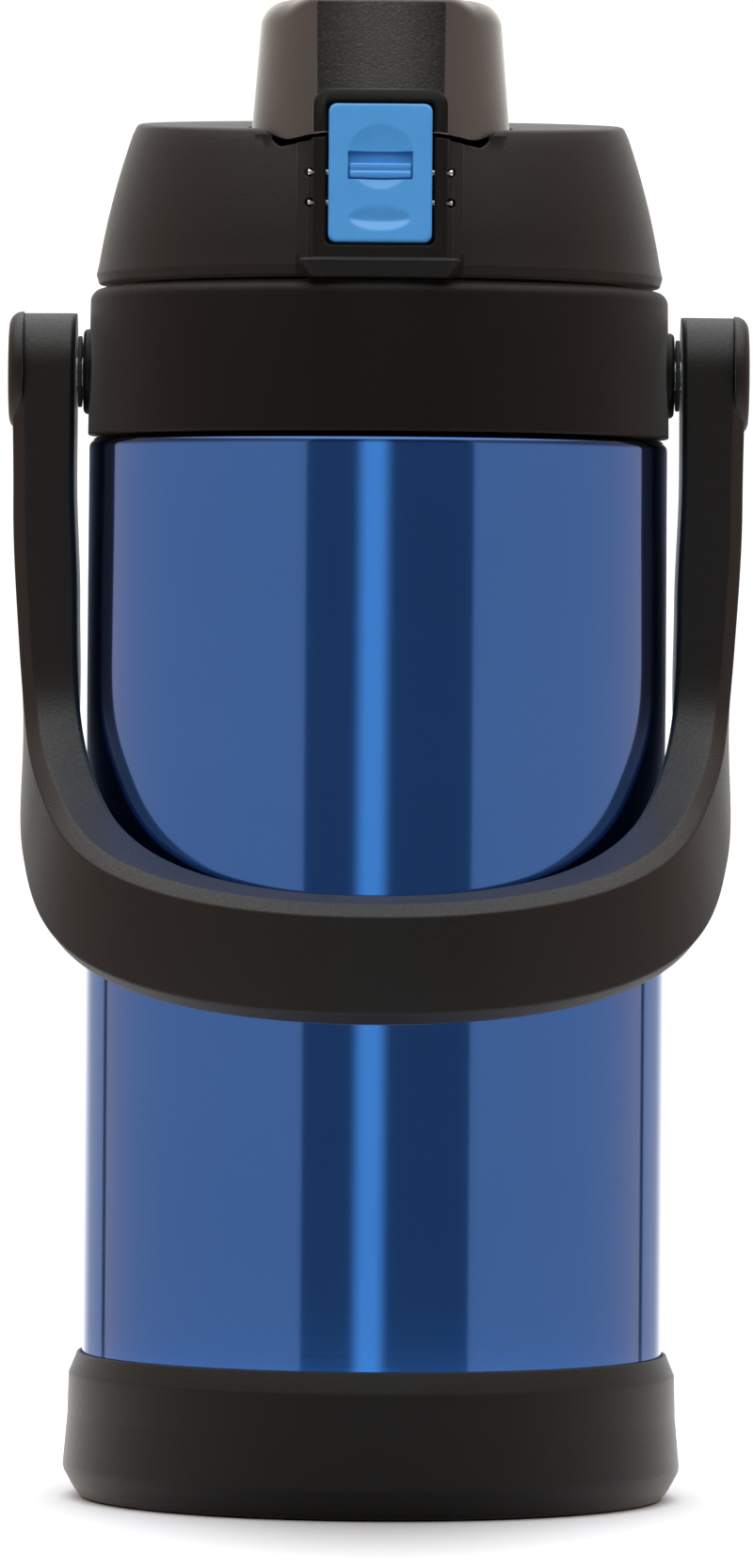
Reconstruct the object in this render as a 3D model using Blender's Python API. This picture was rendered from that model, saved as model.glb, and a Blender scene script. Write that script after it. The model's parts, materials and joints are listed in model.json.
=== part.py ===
"""Two-litre vacuum jug: screw lid, sprung flip cover with a push latch, and a wrap-round swing handle.

Frame: +Z up, the front with the latch faces -Y, origin at the centre of the base on the body's axis.
Lengths below are in millimetres; every mesh is scaled to metres as it is made.
"""

import math

import bmesh
import bpy
from mathutils import Matrix, Vector

MM = 0.001

# ---- driving dimensions ----
GAP = 0.3  # between neighbours that don't touch
SIDES = 36  # facets round the large turned pieces
INNER_SIDES = 28  # facets round hidden turned pieces
SIDES_OF_X = ((1, "right"), (-1, "left"))
STEEL = 0.6  # sheet thickness of both bottles
CUT_PHASE = 0.11  # turn of rods and cutters against the pieces they meet, in radians

BODY_R = 58.5
SHELL_FOOT_Z = 4.6
SHOULDER_Z = 213.5
SHOULDER_EDGE_R = 2.3
NECK_R = 46.8
NECK_FILLET_R = 2.0
MOUTH_Z = 228.0
MOUTH_R = 45.0
LIP_W = 2.4  # reach of the rolled mouth lip over the neck
VESSEL_R = 54.6  # inside radius
VESSEL_FLOOR_Z = 12.2
VESSEL_SHOULDER_Z = 204.0  # centre of the shoulder bend
VESSEL_BEND_R = 6.0
PLATE_Z = 6.4  # top of the sheet that closes the shell

CUP_R = 62.3
CUP_TOP_Z = 29.0
CUP_BEVEL_Z = 24.4  # foot of the bevel round the top
CUP_FLOOR_Z = 4.1
PAD_R = 50.0
PAD_Z = 1.6

COLLAR_R = 58.6
COLLAR_Z0 = 213.8
COLLAR_Z1 = 243.4
BORE_R = 52.0
SEAT_R = 47.8

THREAD_LEAD = 12.0
THREAD_STARTS = 2
THREAD_ARC = math.radians(190)
THREAD_SIDES = 32  # facets to a turn
COLLAR_RIB_Z = 234.6  # where a collar rib starts
LID_RIB_Z = 231.5  # half a pitch off the collar's ribs, so that they mesh

LID_R = 57.0
LID_Z0 = 244.3
LID_TOP_Z = 277.0
LID_WALL = 2.3
LID_TILT = 0.077  # rise of the top surface to the rear
TILT_FROM_Z = 252.0
SKIRT_R = 50.3
SKIRT_IN_R = 48.0
SKIRT_Z = 229.4
LINER_FLOOR_Z = 222.0
LINER_RIM_Z = 231.0
LINER_RIM_R = 47.6

COVER_Y = -29.0
COVER_R = 25.75
COVER_TOP_R = 24.0
COVER_TOP_Z = 299.5
COVER_EDGE_R = 5.0
COVER_WALL = 1.85
COVER_FLAT = 22.6  # from the cover's axis to its front flat, at the foot
COVER_TOP_FLAT = 20.4
RECESS_R = 26.3
RECESS_Z = 272.2
CROWN_R = 80.0  # the recess floor is an arch of this radius, seen from the front
HINGE = Vector((0.0, 1.5, 280.0))
HINGE_EAR_R = 3.3
HINGE_EAR_X = (8.7, 12.7)
HINGE_BARREL_R = 3.2
HINGE_BARREL_X = (4.2, 8.3)
HINGE_PIN_R = 1.0
HINGE_PIN_HALF = 12.5

SPOUT_R = 12.8
SPOUT_BORE_R = 10.8
SPOUT_TOP_Z = 291.0
SPOUT_FOOT_Z = 228.6
SPOUT_LIP_W = 2.8
SPOUT_FLANGE_R = 16.5

LATCH = Vector((0.0, -51.5, 264.6))
LATCH_LEAN = math.radians(12)
FRAME_N = 3.4  # housing face, measured out from the latch axle
BUTTON_N = 3.7
BUTTON_W = 20.4
BUTTON_LOW = -14.2
BUTTON_HIGH = 13.9
BUTTON_GAP = 0.5
HOUSING_W = 26.6
HOUSING_BACK_Y = -45.5
SILL_W = 32.0
SILL_FRONT_Y = -59.3
SILL_Z1 = 247.6
STOP_PIN_UP, STOP_PIN_OUT = -6.1, -0.3
CROSS_PIN_R = 0.7
CROSS_PIN_HALF = 15.0
POCKET_HALF = BUTTON_W / 2 + BUTTON_GAP
WINDOW_HALF = 6.4
WINDOW_LOW, WINDOW_HIGH = -2.3, 3.5
WINDOW_OUT = 2.2
DISH_UP, DISH_R, DISH_DEPTH = 2.3, 6.6, 0.8
SCOOP_UP, SCOOP_HALF, SCOOP_TALL, SCOOP_DEPTH = -10.0, 6.0, 2.7, 0.7

PIVOT = Vector((0.0, 0.0, 226.7))
PIVOT_PIN_R = 2.9
BOSS_R = 8.6
BOSS_X = 59.6
ARM_END_R = 12.1
CAP_R = 12.4
CAP_X = 74.6
WRAP_R = 67.0  # mean radius of the strap round the body
STRAP_W = 25.3
# (height, distance from the body's axis) along the strap
STRAP_INNER = ((0, 61.0), (118, 61.0), (160, 60.0), (180, 60.3), (206, 61.1), (240, 61.0))
STRAP_OUTER = ((0, 73.5), (118, 73.3), (134, 72.3), (158, 71.5), (170, 72.1), (188, 73.0), (214, 73.8))
SCREW_HEAD_X = 68.5
CAP_SEAT_X = 71.6

BLACK = ((0.022, 0.021, 0.020), 0.55, 0.0)
BLUE_STEEL = ((0.03, 0.09, 0.36), 0.18, 0.9)
STEEL_LOOK = ((0.62, 0.62, 0.63), 0.3, 1.0)
BLUE_PLASTIC = ((0.07, 0.28, 0.66), 0.35, 0.0)
SILICONE = ((0.75, 0.75, 0.73), 0.6, 0.0)
GREY_PLASTIC = ((0.33, 0.33, 0.33), 0.5, 0.0)
RUBBER = ((0.03, 0.03, 0.03), 0.85, 0.0)
FOIL = ((0.72, 0.43, 0.3), 0.3, 1.0)


# ---- tools ----
def clear_scene():
    for obj in list(bpy.data.objects):
        bpy.data.objects.remove(obj, do_unlink=True)


def polar(radius, angle):
    return radius * math.cos(angle), radius * math.sin(angle)


def arc(centre, radius, start, end, steps):
    """Points (r, z) of an arc in a turned profile; angles in degrees, 0 points outward and 90 up."""
    points = []
    for i in range(steps + 1):
        angle = math.radians(start + (end - start) * i / steps)
        points.append((centre[0] + radius * math.cos(angle), centre[1] + radius * math.sin(angle)))
    return points


def skin(rings, closed_ring=False):
    """Faces between neighbouring rings of points. One point is a pole; an open chain gets end caps."""
    bm = bmesh.new()
    made = [[bm.verts.new(point) for point in ring] for ring in rings]
    pairs = list(zip(made, made[1:]))
    if closed_ring:
        pairs.append((made[-1], made[0]))
    else:
        for end in (made[0], made[-1]):
            if len(end) > 1:
                bm.faces.new(end)
    for a, b in pairs:
        count = max(len(a), len(b))
        for i in range(count):
            j = (i + 1) % count
            if len(a) == 1:
                bm.faces.new((a[0], b[j], b[i]))
            elif len(b) == 1:
                bm.faces.new((a[i], a[j], b[0]))
            else:
                bm.faces.new((a[i], a[j], b[j], b[i]))
    bmesh.ops.recalc_face_normals(bm, faces=bm.faces)
    if bm.calc_volume(signed=True) < 0:
        bmesh.ops.reverse_faces(bm, faces=bm.faces)
    return bm


def turned(profile, sides=SIDES, phase=0.0):
    """Solid turned about Z from (r, z) points. Ends on the axis close it; else the profile closes on itself.

    A phase, in radians, keeps a cutter's corners off the corners of what it cuts.
    """
    rings = []
    for radius, z in profile:
        if radius == 0:
            rings.append([Vector((0, 0, z))])
        else:
            rings.append([Vector((*polar(radius, phase + math.tau * i / sides), z)) for i in range(sides)])
    return skin(rings, closed_ring=profile[0][0] > 0)


def tube(outer, inner, z0, z1, sides=SIDES):
    return turned([(inner, z0), (inner, z1), (outer, z1), (outer, z0)], sides)


def rod(radius, z0, z1, sides=24, phase=CUT_PHASE):
    return turned([(0, z0), (radius, z0), (radius, z1), (0, z1)], sides, phase)


def block(low, high):
    rings = []
    for z in (low[2], high[2]):
        corners = ((low[0], low[1]), (high[0], low[1]), (high[0], high[1]), (low[0], high[1]))
        rings.append([Vector((x, y, z)) for x, y in corners])
    return skin(rings)


def along_x(bm, x_sign=1, at=(0.0, 0.0, 0.0)):
    """Lays a solid made about Z along +X or -X, with its axis through a point."""
    turn = Matrix.Rotation(math.radians(90) * x_sign, 4, "Y")
    bmesh.ops.transform(bm, matrix=Matrix.Translation(Vector(at)) @ turn, verts=bm.verts)
    return bm


def shifted(bm, offset):
    bmesh.ops.translate(bm, vec=Vector(offset), verts=bm.verts)
    return bm


def swept(path, radius, sides):
    """Wire of round section along a list of points."""
    rings = []
    side = Vector((1.0, 0.0, 0.0))
    for i, point in enumerate(path):
        ahead = path[min(i + 1, len(path) - 1)] - path[max(i - 1, 0)]
        ahead.normalize()
        side = (side - ahead * side.dot(ahead)).normalized()
        up = ahead.cross(side)
        turns = [polar(radius, math.tau * k / sides) for k in range(sides)]
        rings.append([point + side * c + up * s for c, s in turns])
    return skin(rings)


def rounded_outline(half_w, low, high, corner, steps=3):
    """Closed outline of a rectangle with round corners, as (x, up) pairs."""
    points = []
    centres = (
        (half_w - corner, high - corner, 0),
        (corner - half_w, high - corner, 90),
        (corner - half_w, low + corner, 180),
        (half_w - corner, low + corner, 270),
    )
    for x, up, start in centres:
        points += arc((x, up), corner, start, start + 90, steps)
    return points


def on_latch(x, up, out):
    """Point in the latch's leaning frame: across, up the face, and out of it."""
    lean_s, lean_c = math.sin(LATCH_LEAN), math.cos(LATCH_LEAN)
    return LATCH + Vector((x, up * lean_s - out * lean_c, up * lean_c + out * lean_s))


def latch_solid(levels):
    """Solid from (outline, out) levels in the latch's frame."""
    return skin([[on_latch(x, up, out) for x, up in outline] for outline, out in levels])


def latch_slab(outline, out0, out1):
    return latch_solid([(outline, out0), (outline, out1)])


def ellipse(half_w, half_h, up, sides):
    turns = [polar(1.0, CUT_PHASE + math.tau * i / sides) for i in range(sides)]
    return [(half_w * c, up + half_h * s) for c, s in turns]


def rectangle(half_w, low, high):
    return [(half_w, low), (half_w, high), (-half_w, high), (-half_w, low)]


def crown(x):
    return x * x / (2 * CROWN_R)


def material(name, look):
    colour, roughness, metallic = look
    mat = bpy.data.materials.new(name)
    mat.use_nodes = True
    shader = mat.node_tree.nodes["Principled BSDF"]
    shader.inputs["Base Color"].default_value = (*colour, 1.0)
    shader.inputs["Roughness"].default_value = roughness
    shader.inputs["Metallic"].default_value = metallic
    mat.diffuse_color = (*colour, 1.0)
    return mat


def to_object(name, bm):
    """Scales a mesh made in millimetres to metres and links it as an object."""
    bmesh.ops.scale(bm, vec=(MM, MM, MM), verts=bm.verts)
    mesh = bpy.data.meshes.new(name)
    bm.to_mesh(mesh)
    bm.free()
    obj = bpy.data.objects.new(name, mesh)
    bpy.context.scene.collection.objects.link(obj)
    return obj


def piece(name, bm, look, origin=None):
    """Makes one sub-part; origin is a point on its joint's axis."""
    obj = to_object(name, bm)
    obj.data.materials.append(material(name, look))
    obj.data.shade_smooth()
    obj.data.set_sharp_from_angle(angle=math.radians(35))
    if origin is not None:
        place = Vector(origin) * MM
        obj.data.transform(Matrix.Translation(-place))
        obj.location = place
    return obj


def combine(obj, bm, operation, name):
    """Adds a Boolean of a hidden helper solid."""
    helper = to_object(f"{obj.name}_{name}", bm)
    helper.hide_render = True
    helper.display_type = "WIRE"
    modifier = obj.modifiers.new(name, "BOOLEAN")
    modifier.operation = operation
    modifier.solver = "EXACT"
    modifier.object = helper


def join(obj, bm, name):
    combine(obj, bm, "UNION", name)


def cut(obj, bm, name):
    combine(obj, bm, "DIFFERENCE", name)


def thread_rib(root_r, tip_r, z0, start_angle):
    """Helical rib of trapezoid section, its root buried in the wall it joins."""
    half_root, half_tip = 1.1, 0.6
    steps = round(THREAD_ARC / math.tau * THREAD_SIDES)
    section = ((root_r, -half_root), (tip_r, -half_tip), (tip_r, half_tip), (root_r, half_root))
    rings = []
    for i in range(steps + 1):
        turn = THREAD_ARC * i / steps
        z = z0 + THREAD_LEAD * turn / math.tau
        rings.append([Vector((*polar(r, start_angle + turn), z + dz)) for r, dz in section])
    return skin(rings)


# ---- body ----
def outer_shell():
    foot, top, edge, fillet = SHELL_FOOT_Z, SHOULDER_Z, SHOULDER_EDGE_R, NECK_FILLET_R
    neck_top = MOUTH_Z - 1.1
    edge_centre, fillet_centre = (BODY_R - edge, top - edge), (NECK_R + fillet, top + fillet)
    profile = [(BODY_R, foot)]
    profile += arc(edge_centre, edge, 0, 90, 3)
    profile += arc(fillet_centre, fillet, 270, 180, 2)
    profile += [(NECK_R, neck_top), (NECK_R - STEEL, neck_top)]
    profile += arc(fillet_centre, fillet + STEEL, 180, 270, 2)
    profile += arc(edge_centre, edge - STEEL, 90, 0, 3)
    profile += [(BODY_R - STEEL, foot)]
    piece("outer_shell", turned(profile), BLUE_STEEL)


def inner_vessel():
    bend, lip_z = VESSEL_BEND_R, MOUTH_Z - 0.8
    floor_centre = (VESSEL_R - bend, VESSEL_FLOOR_Z + bend)
    top_centre = (VESSEL_R - bend, VESSEL_SHOULDER_Z)
    profile = [(0, VESSEL_FLOOR_Z)]
    profile += arc(floor_centre, bend, 270, 360, 3)
    profile += arc(top_centre, bend, 0, 90, 3)
    profile += [(MOUTH_R + 1.2, 211.6), (MOUTH_R, 213.6), (MOUTH_R, MOUTH_Z)]
    profile += [(MOUTH_R + LIP_W, MOUTH_Z), (MOUTH_R + LIP_W, lip_z)]
    profile += [(MOUTH_R + STEEL, lip_z), (MOUTH_R + STEEL, 213.9), (MOUTH_R + 1.7, 212.1)]
    profile += arc(top_centre, bend + STEEL, 90, 0, 3)
    profile += arc(floor_centre, bend + STEEL, 360, 270, 3)
    profile += [(0, VESSEL_FLOOR_Z - STEEL)]
    piece("inner_vessel", turned(profile, INNER_SIDES), STEEL_LOOK)


def bottom_plate():
    rim, rim_foot = BODY_R - STEEL - GAP, 4.8
    top, step = PLATE_Z + STEEL, 0.8
    profile = [(0, top), (20, top), (25, top - step), (rim, top - step), (rim, rim_foot)]
    profile += [(rim - STEEL, rim_foot), (rim - STEEL, PLATE_Z - step), (25, PLATE_Z - step)]
    profile += [(20, PLATE_Z), (0, PLATE_Z)]
    piece("bottom_plate", turned(profile), STEEL_LOOK)


def vacuum_parts():
    getter_z = PLATE_Z + STEEL + GAP
    getter = shifted(rod(6.0, getter_z, getter_z + 1.4, 16), (14, 0, 0))
    piece("getter", getter, STEEL_LOOK)
    foil_r = VESSEL_R + STEEL + 1.0
    piece("insulating_foil", tube(foil_r + 0.3, foil_r, 22, 200, INNER_SIDES), FOIL)


def base_cup():
    inner, seat_r, seat_z = BODY_R + 0.35, PAD_R + 0.4, PAD_Z + GAP
    profile = [(0, CUP_FLOOR_Z), (inner, CUP_FLOOR_Z), (inner, CUP_TOP_Z), (inner + 0.4, CUP_TOP_Z + 0.1)]
    profile += [(CUP_R - 1.2, CUP_BEVEL_Z), (CUP_R - 1.0, 17.0), (CUP_R - 0.5, 9.5), (CUP_R, 5.7)]
    profile += [(CUP_R - 0.6, 3.8), (CUP_R - 2.1, 1.9), (CUP_R - 3.7, 0.2)]
    profile += [(seat_r, 0.2), (seat_r, seat_z), (0, seat_z)]
    piece("base_cup", turned(profile), BLACK)
    pad = [(0, PAD_Z), (PAD_R, PAD_Z), (PAD_R, 0.4), (PAD_R - 0.4, 0), (0, 0)]
    piece("base_pad", turned(pad), RUBBER)


def collar():
    low, high, seat_z = COLLAR_Z0, COLLAR_Z1, MOUTH_Z + 1.0
    profile = [(49.5, low), (COLLAR_R - 0.3, low), (COLLAR_R, low + 0.3), (COLLAR_R - 0.5, high - 3.6)]
    profile += [(COLLAR_R - 0.7, high - 1.9), (COLLAR_R - 1.5, high - 0.7), (COLLAR_R - 2.7, high)]
    profile += [(BORE_R + 0.6, high), (BORE_R, high - 0.6)]
    profile += [(BORE_R, seat_z), (SEAT_R, seat_z), (SEAT_R, 216.6)]
    ring = piece("collar", turned(profile), BLACK)
    root_x, hole_end_x, chamfer = 53.5, 62.0, 1.0
    for sign, side in SIDES_OF_X:
        boss = [(0, root_x), (BOSS_R, root_x), (BOSS_R, BOSS_X - chamfer)]
        boss += [(BOSS_R - chamfer, BOSS_X), (0, BOSS_X)]
        join(ring, along_x(turned(boss, 24, CUT_PHASE / 2), sign, PIVOT), f"boss_{side}")
    for start in range(THREAD_STARTS):
        turn = math.tau * start / THREAD_STARTS + CUT_PHASE
        rib = thread_rib(BORE_R + 0.8, BORE_R - 1.1, COLLAR_RIB_Z, turn)
        join(ring, rib, f"rib_{start}")
    for sign, side in SIDES_OF_X:
        hole = rod(PIVOT_PIN_R + GAP, root_x - 0.5, hole_end_x, 16)
        cut(ring, along_x(hole, sign, PIVOT), f"pin_hole_{side}")


# ---- lid ----
def cone_r(z):
    """Outer radius of the lid's slightly convex cone."""
    rise = z - 246.0
    return LID_R - 0.1446 * rise - 0.003424 * rise * rise


def tilted(bm):
    """Leans the top of the lid down to the front, and leaves the foot level."""
    for vert in bm.verts:
        share = max(0.0, (vert.co.z - TILT_FROM_Z) / (LID_TOP_Z - TILT_FROM_Z))
        vert.co.z += LID_TILT * vert.co.y * min(share, 1.0)
    return bm


def lid_revolve():
    wall_levels, inside_levels, ceiling = (273.6, 268.5, 263.0, 257.0, 250.5), (246.5, 257.0, 268.5), 274.6
    profile = [(0, LID_TOP_Z), (47.2, LID_TOP_Z), (48.5, LID_TOP_Z - 0.3), (49.5, LID_TOP_Z - 1.5)]
    profile += [(cone_r(z), z) for z in wall_levels]
    profile += [(LID_R, 246.2), (LID_R - 0.5, LID_Z0), (SKIRT_R, LID_Z0), (SKIRT_R, SKIRT_Z)]
    profile += [(SKIRT_IN_R, SKIRT_Z), (SKIRT_IN_R, inside_levels[0])]
    profile += [(cone_r(z) - LID_WALL, z) for z in inside_levels]
    profile += [(47.3, ceiling), (0, ceiling)]
    return tilted(turned(profile))


def recess_pan():
    """Solid under the cover recess, kept inside the cone's outer face."""
    radius, limit = RECESS_R + 2.2, cone_r(LID_TOP_Z - 4.7) - 0.7
    foot, top = 266.0, 275.8
    rings = []
    for z in (foot, top):
        ring = []
        for i in range(SIDES):
            x, y = polar(radius, CUT_PHASE / 2 + math.tau * i / SIDES)
            point = Vector((x, y + COVER_Y))
            if point.length > limit:
                point = point.normalized() * limit
            ring.append(Vector((point.x, point.y, z)))
        rings.append(ring)
    return tilted(skin(rings))


def latch_face_y(z, out):
    """Depth of the plane that lies out from the latch axle, at a height."""
    up = (z - LATCH.z - out * math.sin(LATCH_LEAN)) / math.cos(LATCH_LEAN)
    return on_latch(0, up, out).y


def latch_housing():
    """Block on the front of the cone, with bevelled sides and an arched top."""
    face, root, middle, foot, crest = HOUSING_W / 2, 16.6, 0.7, 246.4, RECESS_Z + 0.15
    rings = []
    for top in (False, True):
        ring = []
        for x in (-face, middle, face, root, face, -face, -root):
            z = crest - crown(x) if top else foot
            on_face = len(ring) < 3
            on_side = abs(x) > face
            side_y = -math.sqrt((cone_r(z) - 0.9) ** 2 - x * x)
            y = latch_face_y(z, FRAME_N) if on_face else side_y if on_side else HOUSING_BACK_Y
            ring.append(Vector((x, y, z)))
        rings.append(ring)
    return skin(rings)


def recess_cutter():
    """Round recess for the cover, with an arched floor."""
    top = 292.0
    profile = [(r, RECESS_Z) for r in (0, 9, 18, RECESS_R)] + [(RECESS_R, top), (0, top)]
    bm = shifted(turned(profile, SIDES, CUT_PHASE), (0, COVER_Y, 0))
    for vert in bm.verts:
        if vert.co.z < top - 1:
            vert.co.z -= crown(vert.co.x)
    return bm


def hinge_ear(x0, x1):
    """Ear with a round top about the hinge axis."""
    radius, foot = HINGE_EAR_R, 275.6
    outline = [(HINGE.y - radius, foot)]
    outline += [(HINGE.y + r, HINGE.z + z) for r, z in arc((0, 0), radius, 180, 0, 6)]
    outline += [(HINGE.y + radius, foot)]
    return skin([[Vector((x, y, z)) for y, z in outline] for x in (x0, x1)])


def mirrored_span(span, sign):
    """(low, high) of a span of x on the right, or of its mirror image on the left."""
    return sorted(x * sign for x in span)


def lid_body():
    lid = piece("lid_body", lid_revolve(), BLACK, (0, 0, LID_Z0))
    for start in range(THREAD_STARTS):
        turn = math.tau * start / THREAD_STARTS + CUT_PHASE
        join(lid, thread_rib(SKIRT_R - 0.8, SKIRT_R + 1.3, LID_RIB_Z, turn), f"rib_{start}")
    join(lid, recess_pan(), "pan")
    join(lid, latch_housing(), "housing")
    sill = block((-SILL_W / 2, SILL_FRONT_Y, LID_Z0 - 0.4), (SILL_W / 2, -51.0, SILL_Z1))
    join(lid, sill, "sill")
    for sign, side in SIDES_OF_X:
        join(lid, hinge_ear(*mirrored_span(HINGE_EAR_X, sign)), f"ear_{side}")
    cut(lid, recess_cutter(), "recess")
    relief_r, relief_half = 3.8, HINGE_EAR_X[0] - 0.05
    cut(lid, along_x(rod(relief_r, -relief_half, relief_half, 16), 1, HINGE), "hinge_relief")
    cut(lid, shifted(rod(SPOUT_R + 0.4, 260, 280, 22), (0, COVER_Y, 0)), "spout_hole")
    pocket = rectangle(POCKET_HALF, BUTTON_LOW - BUTTON_GAP, 22.0)
    cut(lid, latch_slab(pocket, -3.8, 7.0), "button_pocket")
    stop = on_latch(0, STOP_PIN_UP, STOP_PIN_OUT)
    hole_r, hole_half = CROSS_PIN_R + 0.25, CROSS_PIN_HALF + 3
    cut(lid, along_x(rod(hole_r, -hole_half, hole_half, 12), 1, LATCH), "latch_pin_hole")
    cut(lid, along_x(rod(hole_r, -hole_half, hole_half, 12), 1, stop), "stop_pin_hole")
    cut(lid, along_x(rod(HINGE_PIN_R + GAP, -14, 14, 12), 1, HINGE), "hinge_pin_hole")


def lid_inside():
    plug_r, floor, rim, skin_w = MOUTH_R - 0.7, LINER_FLOOR_Z, LINER_RIM_Z, 2.0
    profile = [(0, floor), (plug_r - 1, floor), (plug_r, floor + 1), (plug_r, rim), (LINER_RIM_R, rim)]
    profile += [(LINER_RIM_R, rim + skin_w), (plug_r - skin_w, rim + skin_w)]
    profile += [(plug_r - skin_w, floor + skin_w), (0, floor + skin_w)]
    liner = piece("lid_liner", turned(profile, INNER_SIDES), GREY_PLASTIC, (0, 0, rim))
    under, socket_top = floor - 4, 240.0
    socket = shifted(rod(SPOUT_R + 2.2, floor + 1, socket_top, 24), (0, COVER_Y, 0))
    join(liner, socket, "socket")
    bore, seat_r, seat_z = SPOUT_BORE_R, SPOUT_R + 0.4, floor + 4
    hole = [(0, under), (bore, under), (bore, seat_z), (seat_r, seat_z)]
    hole += [(seat_r, socket_top + 2), (0, socket_top + 2)]
    cut(liner, shifted(turned(hole, 24, CUT_PHASE / 2), (0, COVER_Y, 0)), "socket_bore")
    cut(liner, shifted(rod(1.6, under, floor + 8, 12), (0, -COVER_Y, 0)), "air_hole")
    seal = tube(LINER_RIM_R - 0.1, MOUTH_R - 0.3, MOUTH_Z + GAP, rim - GAP, INNER_SIDES)
    piece("lid_seal", seal, SILICONE, (0, 0, MOUTH_Z))


def spout_parts():
    foot, tip, bore, lip = SPOUT_FOOT_Z, SPOUT_TOP_Z, SPOUT_BORE_R, SPOUT_BORE_R + SPOUT_LIP_W
    flange_z = RECESS_Z + GAP
    profile = [(bore, foot), (bore, tip - 0.8), (bore + 0.8, tip), (lip - 0.6, tip), (lip, tip - 1.0)]
    profile += [(lip, tip - 4.0), (SPOUT_R, tip - 6.0), (SPOUT_R, flange_z + 2)]
    profile += [(SPOUT_FLANGE_R, flange_z + 1.4), (SPOUT_FLANGE_R, flange_z)]
    profile += [(SPOUT_R, flange_z), (SPOUT_R, foot)]
    piece("spout", shifted(turned(profile, 24), (0, COVER_Y, 0)), BLACK)
    seal_foot = LINER_FLOOR_Z + 4 + GAP
    ring = tube(SPOUT_R, SPOUT_BORE_R + 0.2, seal_foot, foot - GAP, 24)
    piece("spout_seal", shifted(ring, (0, COVER_Y, 0)), SILICONE)


# ---- flip cover ----
def flat_round(radius, flat, z):
    """Circle about the cover's axis with its front cut by a flat, crease to crease."""
    half = math.acos(min(flat / radius, 1.0))
    arc_steps, flat_steps = 36, 6
    points = []
    for i in range(arc_steps + 1):
        angle = -math.pi / 2 + half + (math.tau - 2 * half) * i / arc_steps
        points.append(Vector((*polar(radius, angle), z)))
    reach = radius * math.sin(half)
    for i in range(1, flat_steps):
        points.append(Vector((reach * (2 * i / flat_steps - 1), -flat, z)))
    return [point + Vector((0, COVER_Y, 0)) for point in points]


def cover_level(z, inset):
    """Radius and flat distance of the cover's side at a height."""
    share = (z - RECESS_Z) / (COVER_TOP_Z - COVER_EDGE_R - RECESS_Z)
    radius = COVER_R + (COVER_TOP_R - COVER_R) * share - inset
    flat = COVER_FLAT + (COVER_TOP_FLAT - COVER_FLAT) * share - inset
    return radius, flat


def cover_side(inset):
    """Rings of the cover's side and rounded top edge, from the foot up, set in by the wall or not."""
    foot, edge, bend_r = RECESS_Z + 0.5, COVER_TOP_Z - COVER_EDGE_R, COVER_EDGE_R - inset
    rings = [flat_round(*cover_level(z, inset), z) for z in (foot, edge)]
    for point in rings[0]:
        point.z -= crown(point.x)
    radius, flat = cover_level(edge, inset)
    for degrees in (30, 60, 90):
        back, rise = bend_r * (1 - math.cos(math.radians(degrees))), bend_r * math.sin(math.radians(degrees))
        rings.append(flat_round(radius - back, flat - back, edge + rise))
    return rings


def cover_arch():
    """Outline of the arch that frames the top half of the button, above the lid's housing."""
    half, top, corner = HOUSING_W / 2, 17.0, 3.0
    foot_up = (RECESS_Z + 0.5 - LATCH.z) / math.cos(LATCH_LEAN)
    arch = [(x, up) for x, up in rounded_outline(half, 0.0, top, corner) if up > foot_up]
    return arch + [(-half, foot_up), (half, foot_up)]


def flip_cover():
    cover = piece("flip_cover", skin(cover_side(COVER_WALL)[::-1] + cover_side(0.0)), BLACK, HINGE)
    join(cover, latch_slab(cover_arch(), -2.2, FRAME_N), "arch")
    for sign, side in SIDES_OF_X:
        x0, x1 = mirrored_span(HINGE_BARREL_X, sign)
        arm = block((x0, -5.0, HINGE.z - 1.8), (x1, HINGE.y, HINGE.z + 2.2))
        join(cover, arm, f"arm_{side}")
        join(cover, along_x(rod(HINGE_BARREL_R, x0, x1, 16), 1, HINGE), f"barrel_{side}")
    pocket = rectangle(POCKET_HALF, -2.0, BUTTON_HIGH + BUTTON_GAP)
    cut(cover, latch_slab(pocket, 0.9, 9.0), "button_pocket")
    cut(cover, latch_slab(rectangle(4.7, -2.0, 12.3), -1.0, 2.0), "hook_channel")
    cut(cover, along_x(rod(HINGE_PIN_R + GAP, -12, 12, 12), 1, HINGE), "hinge_pin_hole")


def cover_inside():
    cap_z, rim_z, disc_z = COVER_TOP_Z - COVER_WALL - GAP, 291.9, 295.0
    rim_r, disc_r = 15.0, 13.8
    liner = [(0, cap_z), (rim_r, cap_z), (rim_r, rim_z), (disc_r, rim_z), (disc_r, disc_z), (0, disc_z)]
    piece("cover_liner", shifted(turned(liner, 24), (0, COVER_Y, 0)), GREY_PLASTIC, HINGE)
    seal_r, seal_z = disc_r - GAP, disc_z - GAP
    seal = [(0, seal_z), (seal_r, seal_z), (seal_r, 291.6), (10.6, 291.3), (9.8, 292.2), (0, 292.2)]
    piece("cover_seal", shifted(turned(seal, 24), (0, COVER_Y, 0)), SILICONE, HINGE)


def hinge_hardware():
    pin = rod(HINGE_PIN_R, -HINGE_PIN_HALF, HINGE_PIN_HALF, 12)
    piece("cover_hinge_pin", along_x(pin, 1, HINGE), STEEL_LOOK)
    coil_r, half, wire_r, turns, per_turn = 1.9, 3.3, 0.35, 4, 8
    steps = turns * per_turn
    path = [HINGE + Vector((-half, -4.0, coil_r))]
    for i in range(steps + 1):
        z, y = polar(coil_r, math.tau * i / per_turn)
        path.append(HINGE + Vector((2 * half * i / steps - half, y, z)))
    path.append(HINGE + Vector((half, 4.2, coil_r)))
    piece("cover_spring", swept(path, wire_r, 5), STEEL_LOOK)


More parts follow.
